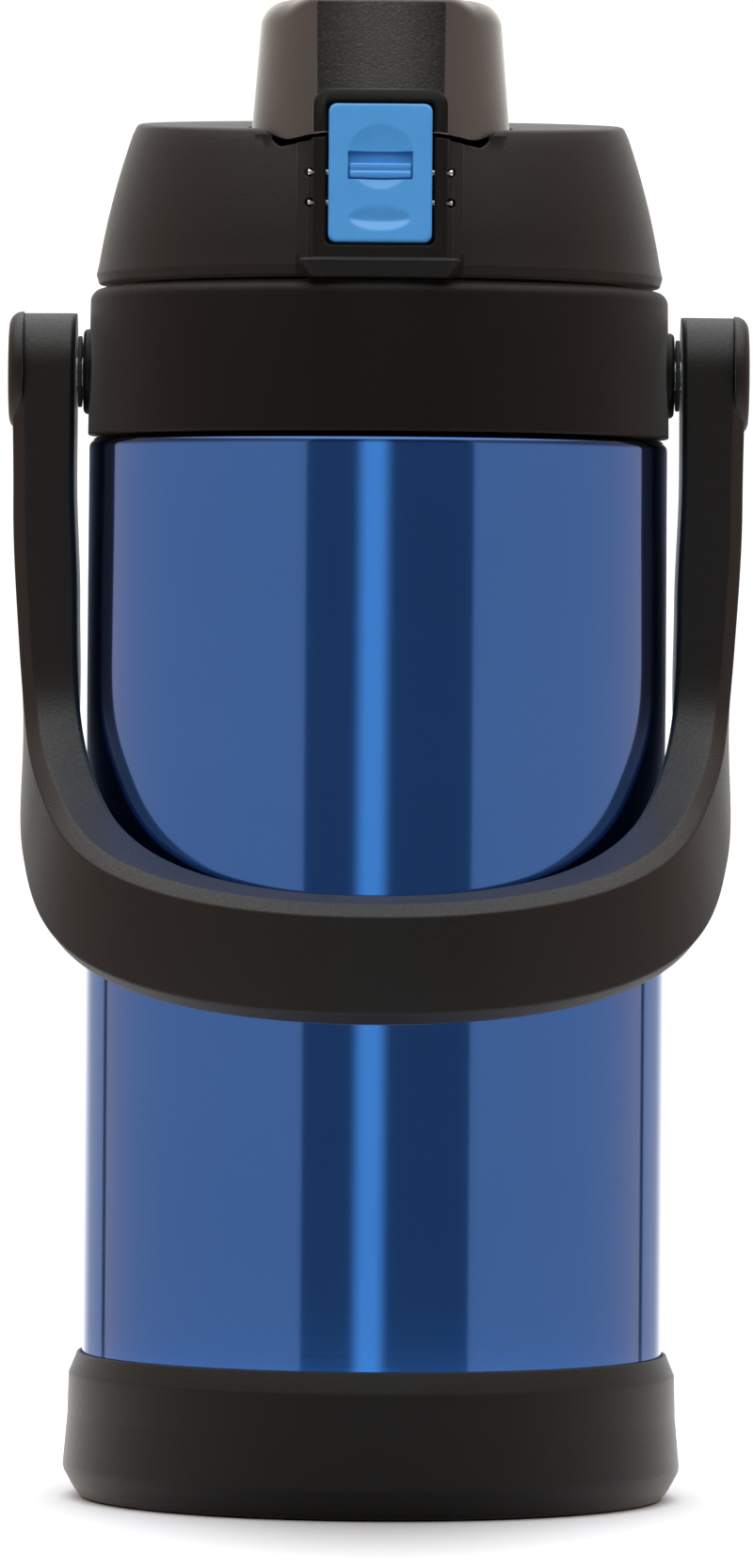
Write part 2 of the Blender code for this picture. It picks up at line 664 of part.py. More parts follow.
# ---- latch ----
def hollow_cutter(half_w, half_h, up, depth, levels, sides):
    """Cutter for a shallow hollow. Levels are shares of the size and the depth, and a shift up the face."""
    rings = []
    for share, sunk, shift in levels:
        outline = ellipse(half_w * share, half_h * share, up + half_h * shift, sides)
        rings.append((outline, BUTTON_N - depth * sunk))
    return latch_solid(rings)


def latch_button():
    outline = rounded_outline(BUTTON_W / 2, BUTTON_LOW, BUTTON_HIGH, 1.6)
    button = piece("latch_button", latch_slab(outline, 1.2, BUTTON_N), BLUE_PLASTIC, LATCH)
    join(button, along_x(rod(2.1, -8, 8, 16), 1, LATCH), "barrel")
    join(button, latch_slab(rectangle(4.0, 8.6, 11.6), -0.5, 1.8), "hook")
    dish = ((0.45, 0.8, 0.0), (0.75, 0.45, 0.0), (1.0, 0.0, 0.0), (1.02, -1.0, 0.0))
    scoop = ((0.45, 1.0, -0.3), (0.75, 0.6, -0.12), (1.0, 0.0, 0.0), (1.02, -1.0, 0.0))
    cut(button, hollow_cutter(DISH_R, DISH_R, DISH_UP, DISH_DEPTH, dish, 22), "dish")
    cut(button, hollow_cutter(SCOOP_HALF, SCOOP_TALL, SCOOP_UP, SCOOP_DEPTH, scoop, 18), "scoop")
    cut(button, along_x(rod(CROSS_PIN_R + GAP, -10, 10, 12), 1, LATCH), "pin_hole")
    window = rectangle(WINDOW_HALF, WINDOW_LOW, WINDOW_HIGH)
    slot = rectangle(WINDOW_HALF + 0.9, WINDOW_LOW, WINDOW_HIGH)
    cut(button, latch_slab(window, WINDOW_OUT, BUTTON_N + 2), "window")
    cut(button, latch_slab(slot, WINDOW_OUT, WINDOW_OUT + 0.65), "slot")


def lock_slider():
    base, bar = rectangle(WINDOW_HALF + 0.6, -2.0, 1.2), rectangle(WINDOW_HALF - GAP, -1.95, 1.15)
    base_out = WINDOW_OUT + 0.25
    slider = piece("lock_slider", latch_slab(base, base_out, base_out + 0.3), BLUE_PLASTIC, LATCH)
    join(slider, latch_slab(bar, base_out + 0.15, BUTTON_N - 0.15), "bar")


def latch_hardware():
    stop = on_latch(0, STOP_PIN_UP, STOP_PIN_OUT)
    for name, place in (("latch_pin", LATCH), ("latch_stop_pin", stop)):
        pin = rod(CROSS_PIN_R, -CROSS_PIN_HALF, CROSS_PIN_HALF, 12)
        piece(name, along_x(pin, 1, place), STEEL_LOOK)
    turns, per_turn, coil_r, wire_r = 4, 8, 1.7, 0.25
    steps, spring_up, seat_out, length = turns * per_turn, -11.0, -3.1, 3.6
    path = []
    for i in range(steps + 1):
        x, up = polar(coil_r, math.tau * i / per_turn)
        path.append(on_latch(x, spring_up + up, seat_out + length * i / steps))
    piece("latch_spring", swept(path, wire_r, 5), STEEL_LOOK)


# ---- handle ----
def bezier(a, b, c, d, t):
    s = 1 - t
    return a * s**3 + b * 3 * s * s * t + c * 3 * s * t * t + d * t**3


def strap_path():
    """Centre line of half the strap as (distance round the body, height), from the front up to the pivot."""
    side = WRAP_R * math.pi / 2
    front = [Vector(p) for p in ((0, 109.9), (38, 109.9), (66, 118), (84, 134))]
    bend = [Vector(p) for p in ((84, 134), (96, 144.5), (side, 152), (side, 170))]
    points = [bezier(*front, i / 9) for i in range(9)]
    points += [bezier(*bend, i / 6) for i in range(6)]
    points += [Vector((side, z)) for z in (170.0, 190.0, 212.0)]
    return points


def blend(stops, value):
    """Straight-line value between (position, value) stops."""
    for (a, va), (b, vb) in zip(stops, stops[1:]):
        if value <= b:
            return va + (vb - va) * (value - a) / (b - a)
    return stops[-1][1]


def strap_section(point, heading, half_w):
    """Bevelled section square to the strap: first across the thickness, then across the width."""
    turn = point.x / WRAP_R
    inner, outer = blend(STRAP_INNER, point.y), blend(STRAP_OUTER, point.y)
    out = Vector((math.sin(turn), -math.cos(turn), 0))
    around = Vector((math.cos(turn), math.sin(turn), 0))
    across = Vector((0, 0, 1)) * heading.x - around * heading.y
    w, small = half_w, 0.8
    outline = ((inner + small, w), (outer - 2.4, w - 1.2), (outer, w - 3.7), (outer, 2.3 - w))
    outline += ((outer - 2.3, 0.4 - w), (inner + small, -w), (inner, small - w), (inner, w - small))
    base = Vector((0, 0, point.y))
    return [base + out * n + across * c for n, c in outline]


def strap():
    """Strap with round ends about the pivots, made for the right side and mirrored."""
    path = strap_path()
    width_stops = ((0, STRAP_W / 2), (160, STRAP_W / 2), (190, ARM_END_R), (240, ARM_END_R))
    rings = []
    for i, point in enumerate(path):
        before = path[i - 1] if i else Vector((-path[1].x, path[1].y))
        after = path[i + 1] if i + 1 < len(path) else point + Vector((0, 1))
        half_w = blend(width_stops, point.y)
        rings.append(strap_section(point, (after - before).normalized(), half_w))
    top = path[-1].x
    for degrees in (0, 20, 40, 58, 72):
        half_w, rise = polar(ARM_END_R, math.radians(degrees))
        rings.append(strap_section(Vector((top, PIVOT.z + rise)), Vector((0, 1)), half_w))
    left = [[Vector((-p.x, p.y, p.z)) for p in ring] for ring in rings[:0:-1]]
    return skin(left + rings)


def handle():
    grip = piece("handle", strap(), BLACK, PIVOT)
    bore, head_r, seat_r = PIVOT_PIN_R + GAP, 6.0, CAP_R + GAP
    head_x, seat_x, washer_x = SCREW_HEAD_X, CAP_SEAT_X, BOSS_X + GAP
    hole = [(0, 55), (bore, 55), (bore, head_x), (head_r, head_x)]
    hole += [(head_r, seat_x), (seat_r, seat_x), (seat_r, 80), (0, 80)]
    cap = [(0, seat_x + GAP), (CAP_R, seat_x + GAP), (CAP_R, CAP_X - 1.5), (CAP_R - 1.2, CAP_X - 0.4)]
    cap += [(CAP_R - 3, CAP_X), (0, CAP_X)]
    screw = [(0, 53.3), (PIVOT_PIN_R, 53.3), (PIVOT_PIN_R, head_x + GAP), (head_r - 0.4, head_x + GAP)]
    screw += [(head_r - 0.4, seat_x - 0.4), (0, seat_x - 0.4)]
    for sign, side in SIDES_OF_X:
        cut(grip, along_x(turned(hole, 24, CUT_PHASE), sign, PIVOT), f"pivot_hole_{side}")
        piece(f"handle_cap_{side}", along_x(turned(cap, 24), sign, PIVOT), BLACK, PIVOT)
        piece(f"handle_pin_{side}", along_x(turned(screw, 16, CUT_PHASE), sign, PIVOT), STEEL_LOOK)
        washer = tube(7.2, bore, washer_x, washer_x + 0.8, 24)
        piece(f"handle_washer_{side}", along_x(washer, sign, PIVOT), RUBBER, PIVOT)


def build():
    clear_scene()
    outer_shell()
    inner_vessel()
    bottom_plate()
    vacuum_parts()
    base_cup()
    collar()
    lid_body()
    lid_inside()
    spout_parts()
    flip_cover()
    cover_inside()
    hinge_hardware()
    latch_button()
    lock_slider()
    latch_hardware()
    handle()


build()
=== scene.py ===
"""Looks of the two-litre vacuum jug: lacquered steel body, moulded black plastic, blue latch button.

Shapes are built in millimetres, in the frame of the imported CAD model, and scaled to metres as they are made.
"""

import json
from math import acos, cos, hypot, pi, radians, sin, sqrt, tan, tau

import bmesh
import bpy
from mathutils import Matrix, Vector


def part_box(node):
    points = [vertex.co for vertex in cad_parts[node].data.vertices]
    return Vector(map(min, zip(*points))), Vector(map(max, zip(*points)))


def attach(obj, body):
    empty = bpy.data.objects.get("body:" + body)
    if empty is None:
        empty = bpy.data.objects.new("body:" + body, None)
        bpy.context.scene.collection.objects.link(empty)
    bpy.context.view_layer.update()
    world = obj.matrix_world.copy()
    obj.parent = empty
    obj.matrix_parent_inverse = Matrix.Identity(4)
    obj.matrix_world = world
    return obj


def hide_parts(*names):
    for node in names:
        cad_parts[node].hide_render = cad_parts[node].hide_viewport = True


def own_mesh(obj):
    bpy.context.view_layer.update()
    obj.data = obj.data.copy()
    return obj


MM = 0.001
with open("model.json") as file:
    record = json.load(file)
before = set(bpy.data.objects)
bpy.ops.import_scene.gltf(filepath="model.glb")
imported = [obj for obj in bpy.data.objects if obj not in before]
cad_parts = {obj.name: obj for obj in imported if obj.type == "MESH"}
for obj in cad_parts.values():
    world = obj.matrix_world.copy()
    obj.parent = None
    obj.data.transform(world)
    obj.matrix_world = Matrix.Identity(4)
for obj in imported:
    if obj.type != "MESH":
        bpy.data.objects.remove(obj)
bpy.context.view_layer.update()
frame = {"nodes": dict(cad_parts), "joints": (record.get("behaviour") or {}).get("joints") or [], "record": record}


# ---- places taken from the frame ----
def box_mm(node):
    low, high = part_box(node)
    return low / MM, high / MM


def joint_mm(name):
    place = next(joint["pos_m"] for joint in frame["joints"] if joint["name"] == name)
    return Vector(place) / MM


SHELL_LOW, SHELL_HIGH = box_mm("outer_shell")
CUP_HIGH = box_mm("base_cup")[1]
COLLAR_LOW, COLLAR_HIGH = box_mm("collar")
LID_LOW, LID_HIGH = box_mm("lid_body")
SPOUT_LOW, SPOUT_HIGH = box_mm("spout")
SLOTS = {row["node"]: row["material_slot"] for row in frame["record"]["subparts"]}
HINGE = joint_mm("cover_open")
LATCH = joint_mm("latch_press")
PIVOT = joint_mm("handle_swing")

BODY_R = SHELL_HIGH.x
COLLAR_R = COLLAR_HIGH.y
LID_R = LID_HIGH.x
CUP_R = CUP_HIGH.x
CAP_X = box_mm("handle_cap_right")[1].x
BOSS_X = COLLAR_HIGH.x
SPOUT_TOP_Z = SPOUT_HIGH.z
COVER_TOP_Z = box_mm("flip_cover")[1].z

# ---- fine dimensions ----
ROUND = 192  # facets round the large turned pieces
CUT_PHASE = 0.013  # turn of solids that are cut or added, so that no points meet
SHARP_CUT, SHARP_TURNED, SHARP_SHELL = 32, 50, 60  # edges over these angles in degrees stay sharp
GAP = 0.3

SHOULDER_Z = 213.5
SHOULDER_EDGE_R = 2.3
NECK_R = 46.8
NECK_FILLET_R = 2.0
MOUTH_Z = 228.0
STEEL = 0.6
PAD_R = 50.0
PAD_TOP_Z = 1.6
BORE_R = 52.0

SKIRT_R = 50.3
SKIRT_IN_R = 48.0
SKIRT_Z = LID_LOW.z
LID_FOOT_Z = 244.3
LID_TOP_Z = 277.0
CONE_FOOT_Z = 246.0
CONE_SLOPE, CONE_BOW = 0.1446, 0.003424
LID_WALL = 2.3
LID_TILT = 0.077
TILT_FROM_Z = 252.0
THREAD_LEAD = 12.0
THREAD_ARC = radians(190)
THREAD_START = 0.11

COVER_Y = (SPOUT_LOW.y + SPOUT_HIGH.y) / 2
COVER_R = 25.75
COVER_TOP_R = 24.0
COVER_EDGE_R = 5.0
COVER_FLAT_EDGE_R = 1.3
COVER_FLAT, COVER_TOP_FLAT = 22.6, 20.4
COVER_WALL = 1.85
RECESS_R = 26.3
RECESS_Z = 272.2
COVER_FOOT_Z = 273.5
DIP_X, DIP_RISE = 17.5, 4.4
CROWN_R = 80.0
SPOUT_R = 12.8
SPOUT_BORE_R = 10.8

LEAN_SIN, LEAN_COS = sin(radians(12)), cos(radians(12))
FRAME_N = 3.4
BUTTON_N = 3.7
BUTTON_W = 20.4
BUTTON_LOW, BUTTON_HIGH = -14.9, 13.2
BUTTON_GAP = 0.5
ARCH_TOP = 16.2
WINDOW_HALF, WINDOW_LOW, WINDOW_HIGH = 6.4, -2.3, 3.5
WINDOW_N = 2.25
HOUSING_W = 26.6
HOUSING_BACK_Y = -45.5
# (distance outside the edge, lift off the cone) from the housing's face to the cone
HOUSING_SIDE = (
    (-0.45, 1.0), (-0.13, 0.96), (0.0, 0.86), (0.45, 0.42),
    (0.75, 0.2), (1.3, 0.09), (2.1, 0.035), (3.1, 0.0),
)
SILL_HALF = 16.0
SILL_BACK_Y = -51.0
SILL_TOP_Z = 247.6
STOP_PIN = (box_mm("latch_stop_pin")[0] + box_mm("latch_stop_pin")[1]) / 2
CROSS_PIN_R = 0.7
PIN_EYE_X, PIN_EYE_R = 13.9, 0.95

PIVOT_PIN_R = 2.9
BOSS_R = 8.6
ARM_END_R = 12.1
CAP_R = 12.1
WRAP_R = 67.0
STRAP_W = 25.3
# (height, distance from the axis) of the strap's faces, and (height, half width)
INNER_FACE = ((0, 61.0), (118, 61.0), (160, 60.0), (180, 60.3), (206, 61.1), (240, 61.0))
OUTER_FACE = ((0, 73.5), (116, 73.3), (136, 71.6), (152, 71.2), (200, 73.4), (240, 74.0))
HALF_WIDTH = ((0, STRAP_W / 2), (160, STRAP_W / 2), (190, ARM_END_R), (240, ARM_END_R))


# ---- outlines ----
def polar(radius, angle):
    """Point on a circle about the origin; the angle is in radians."""
    return radius * cos(angle), radius * sin(angle)


def eased(share, size=1.0):
    """Grows softly from 0 to size as share goes from 0 to 1."""
    return size * share * share * (3 - 2 * share)


def quarter(k, count):
    """Way come inwards, and way still to go upwards, on a quarter round of radius 1."""
    turn = pi / 2 * k / count
    return 1 - cos(turn), 1 - sin(turn)


def mirrored(points):
    """The points on the other side of the jug's middle plane."""
    return [Vector((-p.x, p.y, p.z)) for p in points]


def crown(x):
    """Drop of the arched recess floor beside its middle."""
    return x * x / (2 * CROWN_R)


def arc(centre, radius, start, end, steps):
    """Points of an arc; angles in degrees, 0 points outward and 90 up."""
    points = []
    for i in range(steps + 1):
        across, up = polar(radius, radians(start + (end - start) * i / steps))
        points.append((centre[0] + across, centre[1] + up))
    return points


def rounded(corners, steps=5, closed=True):
    """Outline of (a, b, fillet radius) corners, each turned into an arc."""
    points = []
    count = len(corners)
    for i, (a, b, radius) in enumerate(corners):
        here = Vector((a, b))
        at_end = not closed and i in (0, count - 1)
        if radius <= 0 or at_end:
            points.append((a, b))
            continue
        before = (Vector(corners[i - 1][:2]) - here).normalized()
        after = (Vector(corners[(i + 1) % count][:2]) - here).normalized()
        half = before.angle(after) / 2
        reach = radius / tan(half)
        start, end = here + before * reach, here + after * reach
        centre = here + (before + after).normalized() * (radius / sin(half))
        for k in range(steps + 1):
            share = k / steps
            spoke = (start - centre).lerp(end - centre, share)
            spoke = spoke.normalized() * radius
            points.append(tuple(centre + spoke))
    return points


def box_outline(half_w, low, high, corner=0.0, steps=5):
    places = ((half_w, low), (half_w, high), (-half_w, high), (-half_w, low))
    return rounded([(across, up, corner) for across, up in places], steps)


# ---- mesh tools ----
def skin(rings, closed_ring=False):
    """Faces between neighbouring rings; a ring of one point is a pole, and an open chain gets end caps."""
    bm = bmesh.new()
    made = [[bm.verts.new(point) for point in ring] for ring in rings]
    pairs = list(zip(made, made[1:]))
    if closed_ring:
        pairs.append((made[-1], made[0]))
    else:
        for end in (made[0], made[-1]):
            if len(end) > 1:
                bm.faces.new(end)
    for a, b in pairs:
        count = max(len(a), len(b))
        for i in range(count):
            j = (i + 1) % count
            if len(a) == 1:
                bm.faces.new((a[0], b[j], b[i]))
            elif len(b) == 1:
                bm.faces.new((a[i], a[j], b[0]))
            else:
                bm.faces.new((a[i], a[j], b[j], b[i]))
    bmesh.ops.recalc_face_normals(bm, faces=bm.faces)
    if bm.calc_volume(signed=True) < 0:
        bmesh.ops.reverse_faces(bm, faces=bm.faces)
    return bm


def turned(profile, sides=ROUND, phase=0.0):
    """Solid turned about Z from (r, z) points that start and end on the axis, or close on themselves."""
    rings = []
    for radius, z in profile:
        if radius == 0:
            rings.append([Vector((0, 0, z))])
        else:
            rings.append([Vector((*polar(radius, phase + tau * i / sides), z)) for i in range(sides)])
    return skin(rings, closed_ring=profile[0][0] > 0)


def rod(radius, low, high, sides):
    """Upright cylinder on the axis, between two heights."""
    return turned([(0, low), (radius, low), (radius, high), (0, high)], sides, CUT_PHASE)


def block(low, high):
    rings = []
    for z in (low[2], high[2]):
        corners = ((low[0], low[1]), (high[0], low[1]), (high[0], high[1]), (low[0], high[1]))
        rings.append([Vector((x, y, z)) for x, y in corners])
    return skin(rings)


def along_x(bm, x_sign, at):
    """Lays an upright solid sideways, its top towards +X or -X."""
    turn = Matrix.Rotation(radians(90) * x_sign, 4, "Y")
    bmesh.ops.transform(bm, matrix=Matrix.Translation(at) @ turn, verts=bm.verts)
    return bm


def along_y(bm, at):
    """Lays an upright solid forward, its top towards the front."""
    turn = Matrix.Rotation(radians(90), 4, "X")
    bmesh.ops.transform(bm, matrix=Matrix.Translation(at) @ turn, verts=bm.verts)
    return bm


def to_cover_axis(bm):
    """Moves a solid from the jug's axis to that of the cover and spout."""
    bmesh.ops.translate(bm, vec=Vector((0, COVER_Y, 0)), verts=bm.verts)
    return bm


def on_latch(x, up, out):
    """Point given across, up and out of the latch's leaning face."""
    return LATCH + Vector((x, up * LEAN_SIN - out * LEAN_COS, up * LEAN_COS + out * LEAN_SIN))


def latch_place(point):
    """Across, up and out of a point: the inverse of on_latch."""
    away = point - LATCH
    return away.x, away.y * LEAN_SIN + away.z * LEAN_COS, away.z * LEAN_SIN - away.y * LEAN_COS


def latch_slab(levels):
    """Solid from (outline, out) levels in the latch's frame."""
    return skin([[on_latch(x, up, out) for x, up in outline] for outline, out in levels])


def in_scene(name, data):
    obj = bpy.data.objects.new(name, data)
    bpy.context.scene.collection.objects.link(obj)
    return obj


def to_object(name, bm):
    """Turns a solid in millimetres into an object in metres."""
    bmesh.ops.scale(bm, vec=(MM, MM, MM), verts=bm.verts)
    mesh = bpy.data.meshes.new(name)
    bm.to_mesh(mesh)
    bm.free()
    return in_scene(name, mesh)


def together(*solids):
    """Separate solids as one, so that one step adds or cuts them all."""
    whole = bmesh.new()
    for bm in solids:
        part = bpy.data.meshes.new("part")
        bm.to_mesh(part)
        bm.free()
        whole.from_mesh(part)
        bpy.data.meshes.remove(part)
    return whole


def mesh_state(mesh):
    """Volume of a mesh and whether every edge joins two faces."""
    bm = bmesh.new()
    bm.from_mesh(mesh)
    volume = bm.calc_volume(signed=True)
    whole = all(edge.is_manifold for edge in bm.edges)
    bm.free()
    return volume, whole


def combine(obj, steps):
    """Adds or cuts solids in turn, each nudged by a hair until the result is closed and its volume fits."""
    hair = Vector((0.000007, -0.000004, 0.000009))
    tries = 8
    for operation, bm in steps:
        helper = to_object("helper", bm)
        before, _ = mesh_state(obj.data)
        size, _ = mesh_state(helper.data)
        least, most = (before, before + size) if operation == "UNION" else (before - size, before)
        modifier = obj.modifiers.new("cut", "BOOLEAN")
        modifier.operation = operation
        modifier.solver = "EXACT"
        modifier.object = helper
        best = None
        for nudge in range(tries):
            helper.location = hair * nudge
            graph = bpy.context.evaluated_depsgraph_get()
            result = bpy.data.meshes.new_from_object(obj.evaluated_get(graph))
            volume, whole = mesh_state(result)
            in_range = least * 0.999 <= volume <= most * 1.001
            sound = in_range and abs(volume - before) > size * 1e-5
            if sound and (whole or best is None):
                best = result
            if sound and whole:
                break
        obj.modifiers.clear()
        if best is None:
            raise RuntimeError(f"{obj.name}: a solid left no mark on it")
        obj.data = best
        bpy.data.objects.remove(helper)


def add(*solids):
    return [("UNION", bm) for bm in solids]


def cut(*solids):
    return [("DIFFERENCE", bm) for bm in solids]


def piece(name, bm, material, body, node, steps=(), sharp=SHARP_TURNED):
    """Visible piece that rides on a body and stands for a CAD node."""
    obj = to_object(name, bm)
    combine(obj, steps)
    obj.data.materials.clear()
    obj.data.materials.append(material)
    obj.data.shade_smooth()
    obj.data.set_sharp_from_angle(angle=radians(sharp))
    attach(obj, body)
    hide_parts(node)
    return obj


# ---- materials ----
class Nodes:
    """Short calls for building a node tree."""

    def __init__(self, tree):
        self.tree = tree

    def add(self, kind, inputs, **settings):
        """New shader node with its inputs joined and its settings made."""
        node = self.tree.nodes.new("ShaderNode" + kind)
        for key, value in settings.items():
            setattr(node, key, value)
        for key, value in inputs.items():
            self.join(value, node.inputs[key])
        return node

    def join(self, value, socket):
        if isinstance(value, bpy.types.NodeSocket):
            self.tree.links.new(value, socket)
        else:
            socket.default_value = value

    def math(self, operation, a, b=0.0):
        return self.add("Math", {0: a, 1: b}, operation=operation).outputs[0]

    def between(self, factor, a, b):
        """Value on the way from a to b."""
        span = self.math("SUBTRACT", b, a)
        return self.math("ADD", a, self.math("MULTIPLY", span, factor))

    def step(self, value, low, high):
        return self.span(value, low, high, interpolation_type="SMOOTHSTEP")

    def span(self, value, low, high, out_low=0.0, out_high=1.0, **settings):
        """Maps the range from low to high onto another."""
        inputs = {"Value": value, "From Min": low, "From Max": high, "To Min": out_low, "To Max": out_high}
        return self.add("MapRange", inputs, **settings).outputs["Result"]


class Look(Nodes):
    """A material, with short calls for its shader and textures."""

    def __init__(self, name):
        self.mat = bpy.data.materials.new(name)
        self.mat.use_nodes = True
        super().__init__(self.mat.node_tree)
        self.shader = self.tree.nodes["Principled BSDF"]
        self.coords = self.add("TexCoord", {}).outputs["Object"]

    def set(self, **inputs):
        """Joins values to the shader; an underscore stands for a space."""
        for key, value in inputs.items():
            self.join(value, self.shader.inputs[key.replace("_", " ")])

    def noise(self, scale, detail=2.0, stretch=(1, 1, 1), rough=0.5):
        mapped = self.add("Mapping", {"Vector": self.coords, "Scale": stretch}).outputs[0]
        inputs = {"Vector": mapped, "Scale": scale, "Detail": detail, "Roughness": rough}
        return self.add("TexNoise", inputs).outputs["Fac"]

    def vary(self, noise, low, high):
        """Maps the usual range of noise onto another."""
        return self.span(noise, 0.3, 0.7, low, high)

    def mix(self, factor, a, b):
        return self.add("Mix", {"Factor": factor, "A": a, "B": b}, data_type="RGBA").outputs["Result"]

    def bump(self, height, strength, distance, **normal):
        inputs = {"Height": height, "Strength": strength, "Distance": distance, **normal}
        return self.add("Bump", inputs).outputs["Normal"]


def black_plastic(name, grain=2600.0, depth=0.45, rough=0.5, tone=1.0, gloss=0.24, dust=0.2, glint_speckle=0.0):
    """Moulded black plastic with an eroded fine grain, faint warm mottling, and optional light grey specks that
    are painted glints.
    """
    n = Look(name)
    fine = n.noise(grain, 3.0)
    broad = n.noise(60.0, 2.0)
    dark = (0.0026 * tone, 0.0024 * tone, 0.0022 * tone, 1)
    light = (0.0046 * tone, 0.0042 * tone, 0.0038 * tone, 1)
    soft_edge = n.add("Bevel", {"Radius": 0.0004}, samples=4).outputs["Normal"]
    # Light grey specks painted into the colour: painted glints of the grain.
    painted_glints = n.span(fine, 0.5, 0.75, 0.0, glint_speckle)
    n.set(Base_Color=n.mix(painted_glints, n.mix(broad, dark, light), (0.2, 0.2, 0.21, 1)))
    n.set(Roughness=n.vary(fine, rough - 0.06, rough + 0.08))
    n.set(Normal=n.bump(fine, depth, 0.0001, Normal=soft_edge), Specular_IOR_Level=gloss)
    n.set(Sheen_Weight=dust, Sheen_Roughness=0.35, Sheen_Tint=(1.0, 0.97, 0.92, 1))
    return n


def facet_plastic():
    """Coarser grain of the cover's front flat, its sparkle painted as light grey specks, duller towards its sides.
    """
    n = black_plastic("facet_plastic", grain=2100.0, depth=1.4, rough=0.45, tone=2.0, dust=0.1, glint_speckle=0.1)
    across = n.add("SeparateXYZ", {0: n.coords}).outputs["X"]
    bright_to, dull_from = 0.003, 0.0125
    n.set(Specular_IOR_Level=n.span(n.math("ABSOLUTE", across), bright_to, dull_from, 1.0, 0.3))
    return n


def blue_lacquer():
    """Clear blue lacquer over circumferentially brushed steel, with painted shade darkening the top of the
    shoulder.
    """
    n = Look("blue_lacquer")
    lines = n.noise(22.0, 4.0, (1, 1, 260), 0.65)
    cloud = n.noise(9.0, 3.0, (1, 1, 2.5))
    height = n.add("SeparateXYZ", {0: n.coords}).outputs["Z"]
    # The colour darkens and the coat thins over the top of the shoulder: painted shade that dims its highlight
    # line.
    shoulder_from, shoulder_to = (SHOULDER_Z - 2.2) * MM, (SHOULDER_Z - 1.6) * MM
    shoulder_shade = n.span(height, shoulder_from, shoulder_to)
    blue = n.mix(cloud, (0.035, 0.215, 0.78, 1), (0.050, 0.250, 0.86, 1))
    n.set(Base_Color=n.mix(shoulder_shade, blue, (0.025, 0.06, 0.17, 1)), Metallic=1.0)
    n.set(Roughness=n.vary(lines, 0.07, 0.12))
    n.set(Normal=n.bump(lines, 0.035, 0.00003))
    n.set(Coat_Weight=n.span(shoulder_shade, 0.0, 1.0, 0.9, 0.15), Coat_Roughness=0.03, Coat_IOR=1.5)
    return n.mat


def mottled(name, tones, rough, bump, cloud, grain=None, **more):
    """Surface with a cloudy colour, and a grain or the same cloud in its roughness and bump."""
    n = Look(name)
    cloud = n.noise(*cloud)
    grain = n.noise(*grain) if grain else cloud
    n.set(Base_Color=n.mix(cloud, *tones), **more)
    n.set(Roughness=n.vary(grain, *rough), Normal=n.bump(grain, *bump))
    return n.mat


def blue_plastic(name, *tones):
    """Glossy blue plastic, slightly translucent."""
    glow = {"Subsurface_Weight": 0.08, "Subsurface_Scale": 0.002}
    return mottled(name, tones, (0.26, 0.36), (0.06, 0.00003), (140.0, 2.0), (4000.0, 2.0), **glow)


def soft_polymer(name, rough, *tones):
    """Silicone, rubber and the lid's grey inner plastic."""
    spread = rough - 0.05, rough + 0.05
    return mottled(name, tones, spread, (0.12, 0.00004), (90.0, 3.0), (3000.0, 2.0))


def satin_steel():
    tones, lines = ((0.5, 0.5, 0.51, 1), (0.66, 0.66, 0.67, 1)), (30.0, 4.0, (1, 1, 120), 0.6)
    return mottled("satin_steel", tones, (0.22, 0.38), (0.08, 0.00003), lines, Metallic=1.0)


def crinkled_foil():
    tones, creases = ((0.62, 0.62, 0.63, 1), (0.8, 0.8, 0.8, 1)), (120.0, 5.0)
    return mottled("foil", tones, (0.15, 0.35), (0.5, 0.0003), creases, Metallic=1.0)


BLACK = black_plastic("black_plastic").mat
BLACK_COLLAR = black_plastic("collar_plastic", gloss=0.15, dust=0.1).mat
BLACK_BASE = black_plastic("base_plastic", gloss=0.18, dust=0.36).mat
BLACK_FRAME = black_plastic("frame_plastic", rough=0.4, gloss=0.13, dust=0.04).mat
BLACK_COVER = black_plastic("cover_plastic", grain=2200.0, depth=0.5, tone=4.0, gloss=1.0, dust=1.0).mat
BLACK_FACET = facet_plastic().mat
BLACK_GRIP = black_plastic("handle_plastic", grain=2000.0, depth=0.6, tone=0.3, gloss=0.33, dust=0.16).mat
BLACK_GLOSS = black_plastic("spout_plastic", grain=3500.0, depth=0.1, rough=0.3).mat
LACQUER = blue_lacquer()
BUTTON_BLUE = blue_plastic("button_blue", (0.045, 0.235, 0.56, 1), (0.055, 0.262, 0.6, 1))
# Darker blue for the inside of the button's window: painted shade of the recess.
WINDOW_SHADE_BLUE = blue_plastic("window_shade_blue", (0.024, 0.2, 0.58, 1), (0.028, 0.22, 0.62, 1))
SLIDER_BLUE = blue_plastic("slider_blue", (0.03, 0.2, 0.54, 1), (0.04, 0.23, 0.6, 1))
STEEL_LOOK = satin_steel()
FOIL_LOOK = crinkled_foil()
SILICONE = soft_polymer("silicone", 0.5, (0.68, 0.68, 0.66, 1), (0.76, 0.76, 0.74, 1))
GREY_LINER = soft_polymer("grey_liner", 0.42, (0.3, 0.3, 0.3, 1), (0.36, 0.36, 0.36, 1))
RUBBER = soft_polymer("rubber", 0.75, (0.02, 0.02, 0.02, 1), (0.032, 0.032, 0.032, 1))


